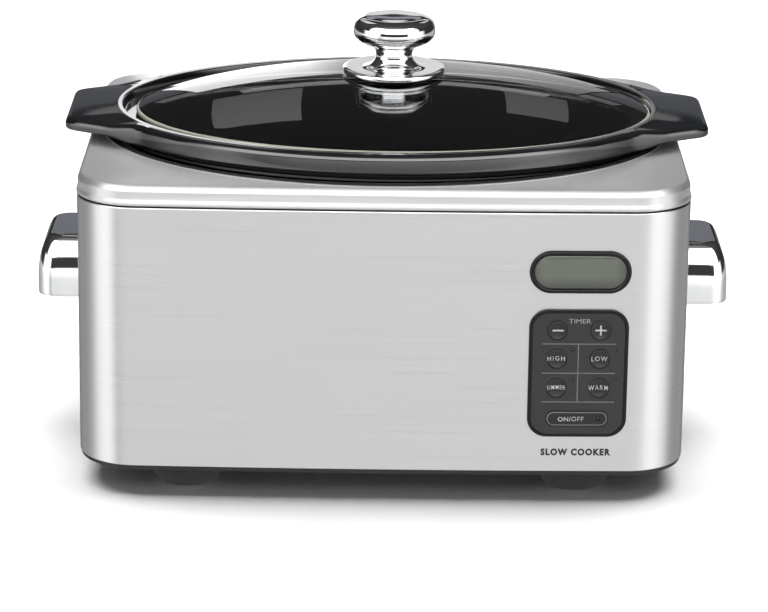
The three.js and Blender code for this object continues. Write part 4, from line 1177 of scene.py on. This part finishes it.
def make_knob():
    top, base = KNOB_HIGH[2], KNOB_LOW[2]
    curve = spline([(0.01, top), (9.0, top - 0.05), (16.0, top - 0.35), (20.6, top - 0.7), (24.2, top - 2.0),
                    (26.3, top - 4.3), (27.35, top - 8.4), (26.9, top - 12.4), (24.6, top - 15.6),
                    (20.8, top - 17.8), (16.6, top - 19.4), (13.8, top - 21.4), (12.4, top - 24.0),
                    (12.15, top - 26.4), (12.7, top - 28.8), (14.2, top - 31.0), (16.6, top - 32.9), (20.5, top - 34.2),
                    (26.5, top - 34.26), (32.0, top - 34.3)], 5)
    flange = fillet([(32.0, top - 34.3, 0), (34.2, top - 34.6, 0.9), (34.2, base + 0.5, 0.9),
                     (32.4, base, 0.4), (30.5, base, 0.2), (30.2, base + 0.9, 0.2), (3.4, base + 0.9, 0.3),
                     (3.4, base + 12.6, 0.2), (0.01, base + 13, 0)])
    knob = turned([*curve, *flange[1:]], (LID_X, 0), 96)
    piece("knob_chrome", "lid", knob, chrome, ["knob"], sharp=40)
    glass_top = LID_HIGH[2]
    gasket = turned(fillet([(5.4, glass_top + 0.15, 0), (21.6, glass_top - 0.1, 0.2),
                            (22.2, base - 0.25, 0.5), (5.4, base - 0.25, 0.2), (5.4, glass_top + 0.15, 0)]), (LID_X, 0), 72)
    piece("knob_gasket_ring", "lid", gasket, rubber, ["knob_gasket"])
    low, high = box("knob_washer")
    washer = turned(fillet([(3.4, high[2], 0), (12.3, high[2], 0.4), (12.3, low[2] + 0.6, 0.5),
                            (11.2, low[2], 0.5), (3.4, low[2], 0.2), (3.4, high[2], 0)]), (LID_X, 0), 64)
    piece("knob_washer_dished", "lid", washer, chrome, ["knob_washer"])
    low, high = box("knob_screw")
    head = turned(fillet([(0.01, low[2], 0), (3.2, low[2] + 0.1, 1.0), (5.6, low[2] + 1.9, 1.2),
                          (5.6, low[2] + 3.6, 0.2), (3.0, low[2] + 3.6, 0.2), (3.0, high[2] - 0.6, 0.3),
                          (0.01, high[2], 0)]), (LID_X, 0), 48)
    bar = rounded(9.0, 1.2, 0.3, (LID_X, 0), steps=3)
    mesh = carved(head, "knob_screw_slotted", [prism(bar, low[2] - 1, low[2] + 1.3)])
    piece("knob_screw_slotted", "lid", mesh, chrome, ["knob_screw"])


make_knob()

# ---------------------------------------------------------------- heating well and inner parts


def make_well():
    low, high = box("heating_well")
    flange = high[2]
    floor = low[2] + 1
    a, b = 177.0, 125.5
    rows = [(150, 98, floor), (a - 15, b - 15, floor), (a - 9, b - 9, floor + 0.9),
            (a - 4.6, b - 4.6, floor + 3.6), (a - 1.9, b - 1.9, floor + 7.8), (a - 1, b - 1, floor + 12),
            (a, b, 184), (a + 0.9, b + 1.4, 187.4), (186.2, 139.6, 194.6), (187.5, 141.5, 197),
            (187.5, 141.5, flange - 1), (188.2, 142.2, flange - 0.2), (189.2, 143.2, flange),
            (193, 148, flange), (193, 148, flange - 1), (188.5, 142.5, flange - 1), (188.5, 142.5, 196.6),
            (187, 140.8, 194), (a + 1.6, b + 2.2, 186.6), (a + 1, b + 1, 182), (a, b, floor + 12),
            (a - 3.8, b - 3.8, floor + 2.8), (a - 13, b - 13, floor - 1), (150, 98, floor - 1)]
    shell = Surface().loft([ellipse(*row, 160) for row in rows], caps=(True, True))
    sensor_low, sensor_high = box("temperature_sensor")
    sx = (sensor_low[0] + sensor_high[0]) / 2
    mesh = carved(shell, "well_pan", [rod(6.2, (sx, 0, floor - 3), (sx, 0, floor + 3), 32)])
    piece("well_pan", "housing", mesh, aluminised, ["heating_well"])


make_well()

KEPT = {
    "band_heater": mica, "heat_shield": aluminised, "well_nut": zinc, "well_tie_bolt": zinc,
    "temperature_sensor": zinc, "sensor_bracket": zinc, "thermal_fuse": zinc, "lcd_module": inner_plastic,
    "switch_sheet": rubber, "control_board": board_green, "power_board": board_green, "transformer": zinc,
    "relay": inner_plastic, "control_box": inner_plastic, "heater_lead_live": wire_white,
    "heater_lead_neutral": wire_white, "cord_gland": rubber, "handle_screw_left_front": zinc,
    "handle_screw_left_rear": zinc, "handle_screw_right_front": zinc, "handle_screw_right_rear": zinc,
}


def dress_kept_nodes():
    """CAD nodes whose shape stays get a material and softened edges."""
    for name, look in KEPT.items():
        node = NODES[name]
        node.data.materials.clear()
        node.data.materials.append(look)
        bevel = node.modifiers.new("edges", "BEVEL")
        bevel.width, bevel.segments, bevel.limit_method = 0.0003, 2, "ANGLE"
        bevel.angle_limit = math.radians(50)


dress_kept_nodes()

# ---------------------------------------------------------------- stage, light and surroundings


def make_floor():
    half = 6.0
    mesh = bpy.data.meshes.new("floor")
    corners = [(-half, -half, 0), (half, -half, 0), (half, half, 0), (-half, half, 0)]
    mesh.from_pydata(corners, [], [(0, 1, 2, 3)])
    mesh.materials.append(plain("floor_white", greys(0.80, 0.81), (0.8, 0.9), 3))
    floor = show(bpy.data.objects.new("floor", mesh))
    floor.visible_glossy = False


make_floor()


def area_light(name, place, aim, size, power):
    data = bpy.data.lights.new(name, "AREA")
    data.shape, data.energy = "RECTANGLE", power
    data.size, data.size_y = size
    made = show(bpy.data.objects.new(name, data))
    made.location = place
    made.rotation_mode = "QUATERNION"
    made.rotation_quaternion = (Vector(aim) - Vector(place)).to_track_quat("-Z", "Y")
    made.visible_glossy = made.visible_transmission = False


area_light("key_top", (0, 0.3, 1.5), (0, 0.3, 0), (2.6, 1.0), 75)
area_light("fill_front", (0, -1.8, 1.6), (0, 0, 0.1), (2.0, 1.2), 5)
area_light("fill_left", (-1.8, 0.2, 1.0), (0, 0, 0.1), (1.4, 1.0), 2.5)
area_light("fill_right", (1.8, 0.2, 1.0), (0, 0, 0.1), (1.4, 1.0), 2.5)
area_light("fill_rear", (0, 1.9, 1.1), (0, 0, 0.1), (1.8, 1.0), 6)


CARD_Y = 0.6
ACROSS, UP = 0, 2


def make_card(name, corners, stops, along=ACROSS, colour=(1, 1, 1)):
    """A glowing card behind the object, seen only in reflections; stops are (place in metres, radiance)."""
    mesh = bpy.data.meshes.new(name)
    mesh.from_pydata([(x, CARD_Y, z) for x, z in corners], [], [(0, 1, 2, 3)])
    look = bpy.data.materials.new(name)
    look.use_nodes = True
    nodes = Nodes(look.node_tree)
    look.node_tree.nodes.clear()
    place = nodes.add("ShaderNodeTexCoord").outputs["Object"]
    parts = nodes.add("ShaderNodeSeparateXYZ", {0: place}).outputs
    # A ramp starts at 0, so places along X, which run below zero, are shifted
    start = 0.0 if along == UP else 0.5
    shift = nodes.math("ADD", parts[along], start)
    radiance = nodes.ramp(shift, [(at + start, level) for at, level in stops])
    glow = nodes.add("ShaderNodeEmission", {"Color": (*colour, 1), "Strength": radiance})
    nodes.add("ShaderNodeOutputMaterial", {"Surface": glow.outputs[0]})
    mesh.materials.append(look)
    card = show(bpy.data.objects.new(name, mesh))
    card.visible_camera = card.visible_diffuse = card.visible_shadow = False
    card.visible_transmission = False


def oblong(x0, x1, z0, z1):
    return [(x0, z0), (x1, z0), (x1, z1), (x0, z1)]


BLUISH = (0.92, 0.95, 1.06)
MAIN_GLOW = [(-0.232, 2.5), (-0.12, 2.3), (-0.08, 1.9), (-0.06, 1.3), (-0.035, 0.75), (0.1, 0.8), (0.2, 0.55),
             (0.232, 0.5)]
make_card("glow_main", oblong(-0.232, 0.232, 0.24, 0.412), MAIN_GLOW)
make_card("glow_low", oblong(-0.21, 0.21, 0.13, 0.24), MAIN_GLOW)
make_card("glow_line", oblong(-0.19, 0.21, 0.482, 0.522), [(0.0, 0.8), (0.1, 0.8)])
make_card("glow_left", [(-0.24, 0.535), (-0.11, 0.535), (-0.17, 0.94), (-0.37, 0.94)],
          [(0.535, 0.4), (0.94, 1.05)], UP)
make_card("glow_right", [(0.15, 0.51), (0.24, 0.51), (0.32, 0.77), (0.20, 0.77)],
          [(0.51, 0.35), (0.77, 0.7)], UP)
make_card("glow_knob", oblong(-0.035, 0.045, 0.425, 0.455), [(0.0, 0.33), (0.1, 0.33)], ACROSS, BLUISH)
for side, name in ((-1, "left"), (1, "right")):
    make_card(f"glow_grip_{name}", oblong(side * 0.236, side * 0.29, 0.385, 0.43), [(0.0, 0.35), (0.1, 0.35)])
    make_card(f"glow_handle_{name}", oblong(side * 0.236, side * 0.42, 0.22, 0.37),
              [(0.0, 0.19), (0.1, 0.19)], ACROSS, BLUISH)

# Surroundings level by direction, degrees from straight ahead (+ towards the right)
LEVEL_BY_TURN = [(-180, 0.15), (-160, 0.18), (-140, 0.46), (-123, 0.46), (-112, 0.56), (-103, 0.7),
                 (-95, 0.86), (-87, 1.15), (-80, 1.4), (-75, 1.5), (-60, 1.5), (-53, 1.35),
                 (-47, 0.95), (-41, 0.68), (-35, 0.85), (-28, 1.05), (17, 1.08), (29, 1.18),
                 (40, 1.35), (47, 1.45), (66, 1.5), (80, 1.25), (87, 1.0), (95, 0.72), (103, 0.58),
                 (113, 0.48), (140, 0.48), (160, 0.18)]


def make_world():
    """Studio surroundings seen in reflections: a bright floor, a soft box over the front, dark behind."""
    world = bpy.data.worlds.new("studio")
    bpy.context.scene.world = world
    world.use_nodes = True
    world.cycles_visibility.diffuse = False
    nodes = Nodes(world.node_tree)
    world.node_tree.nodes.clear()
    direction = nodes.add("ShaderNodeTexCoord").outputs["Generated"]
    x, y, z = nodes.add("ShaderNodeSeparateXYZ", {0: direction}).outputs
    turn = nodes.math("ARCTAN2", x, nodes.math("MULTIPLY", y, -1.0))
    turn01 = nodes.math("MULTIPLY_ADD", turn, 0.5 / math.pi, 0.5)
    rise01 = nodes.math("MULTIPLY_ADD", z, 0.5, 0.5)

    def by_turn(stops):
        return nodes.ramp(turn01, [(0.5 + degrees / 360, level) for degrees, level in stops])

    def by_rise(stops):
        return nodes.ramp(rise01, [(0.5 + 0.5 * math.sin(math.radians(e)), level) for e, level in stops])

    low_rise = by_rise([(-90, 0.80), (-30, 0.80), (-22, 0.75), (-14, 0.95), (-8, 1.5), (10, 1.6), (12, 0.0)])
    rear_rise = by_rise([(-90, 0.80), (-14, 0.95), (-9, 1.2), (-5, 0.03)])
    front_box = by_rise([(12, 0.0), (13, 4.5), (50, 4.5), (57, 0.30), (90, 0.20)])
    rear_box = by_rise([(12, 0.02), (90, 0.06)])
    front = by_turn([(-97, 0.0), (-82, 1.0), (82, 1.0), (97, 0.0)])
    facing = by_turn([(-80, 0.0), (-60, 1.0), (60, 1.0), (80, 0.0)])
    window_turn = by_turn([(-40, 0.0), (-37, 1.0), (37, 1.0), (40, 0.0)])
    window_rise = by_rise([(-6, 0.0), (-4.5, 1.0), (10.5, 1.0), (12, 0.0)])
    window = nodes.math("MULTIPLY", window_turn, window_rise)
    shade = nodes.math("SUBTRACT", 1.0, nodes.math("MULTIPLY", window, 0.97))
    level_left = by_turn([row for row in LEVEL_BY_TURN if row[0] <= -28])
    level_right = by_turn([row for row in LEVEL_BY_TURN if row[0] >= -28])
    is_right = nodes.math("GREATER_THAN", turn, 0.0)
    chosen = nodes.blend(is_right, level_right, level_left)
    rise = nodes.blend(front, nodes.math("MULTIPLY", low_rise, shade), rear_rise)
    low = nodes.math("MULTIPLY", rise, chosen)
    total = nodes.math("ADD", low, nodes.blend(facing, front_box, rear_box))
    mirrored = nodes.math("MINIMUM", nodes.add("ShaderNodeLightPath").outputs["Glossy Depth"], 1.0)
    strength = nodes.blend(mirrored, total, 1.0)
    glow = nodes.add("ShaderNodeBackground", {"Color": (1, 1, 1, 1), "Strength": strength})
    nodes.add("ShaderNodeOutputWorld", {"Surface": glow.outputs[0]})


make_world()

bpy.context.scene.view_settings.view_transform = "Standard"
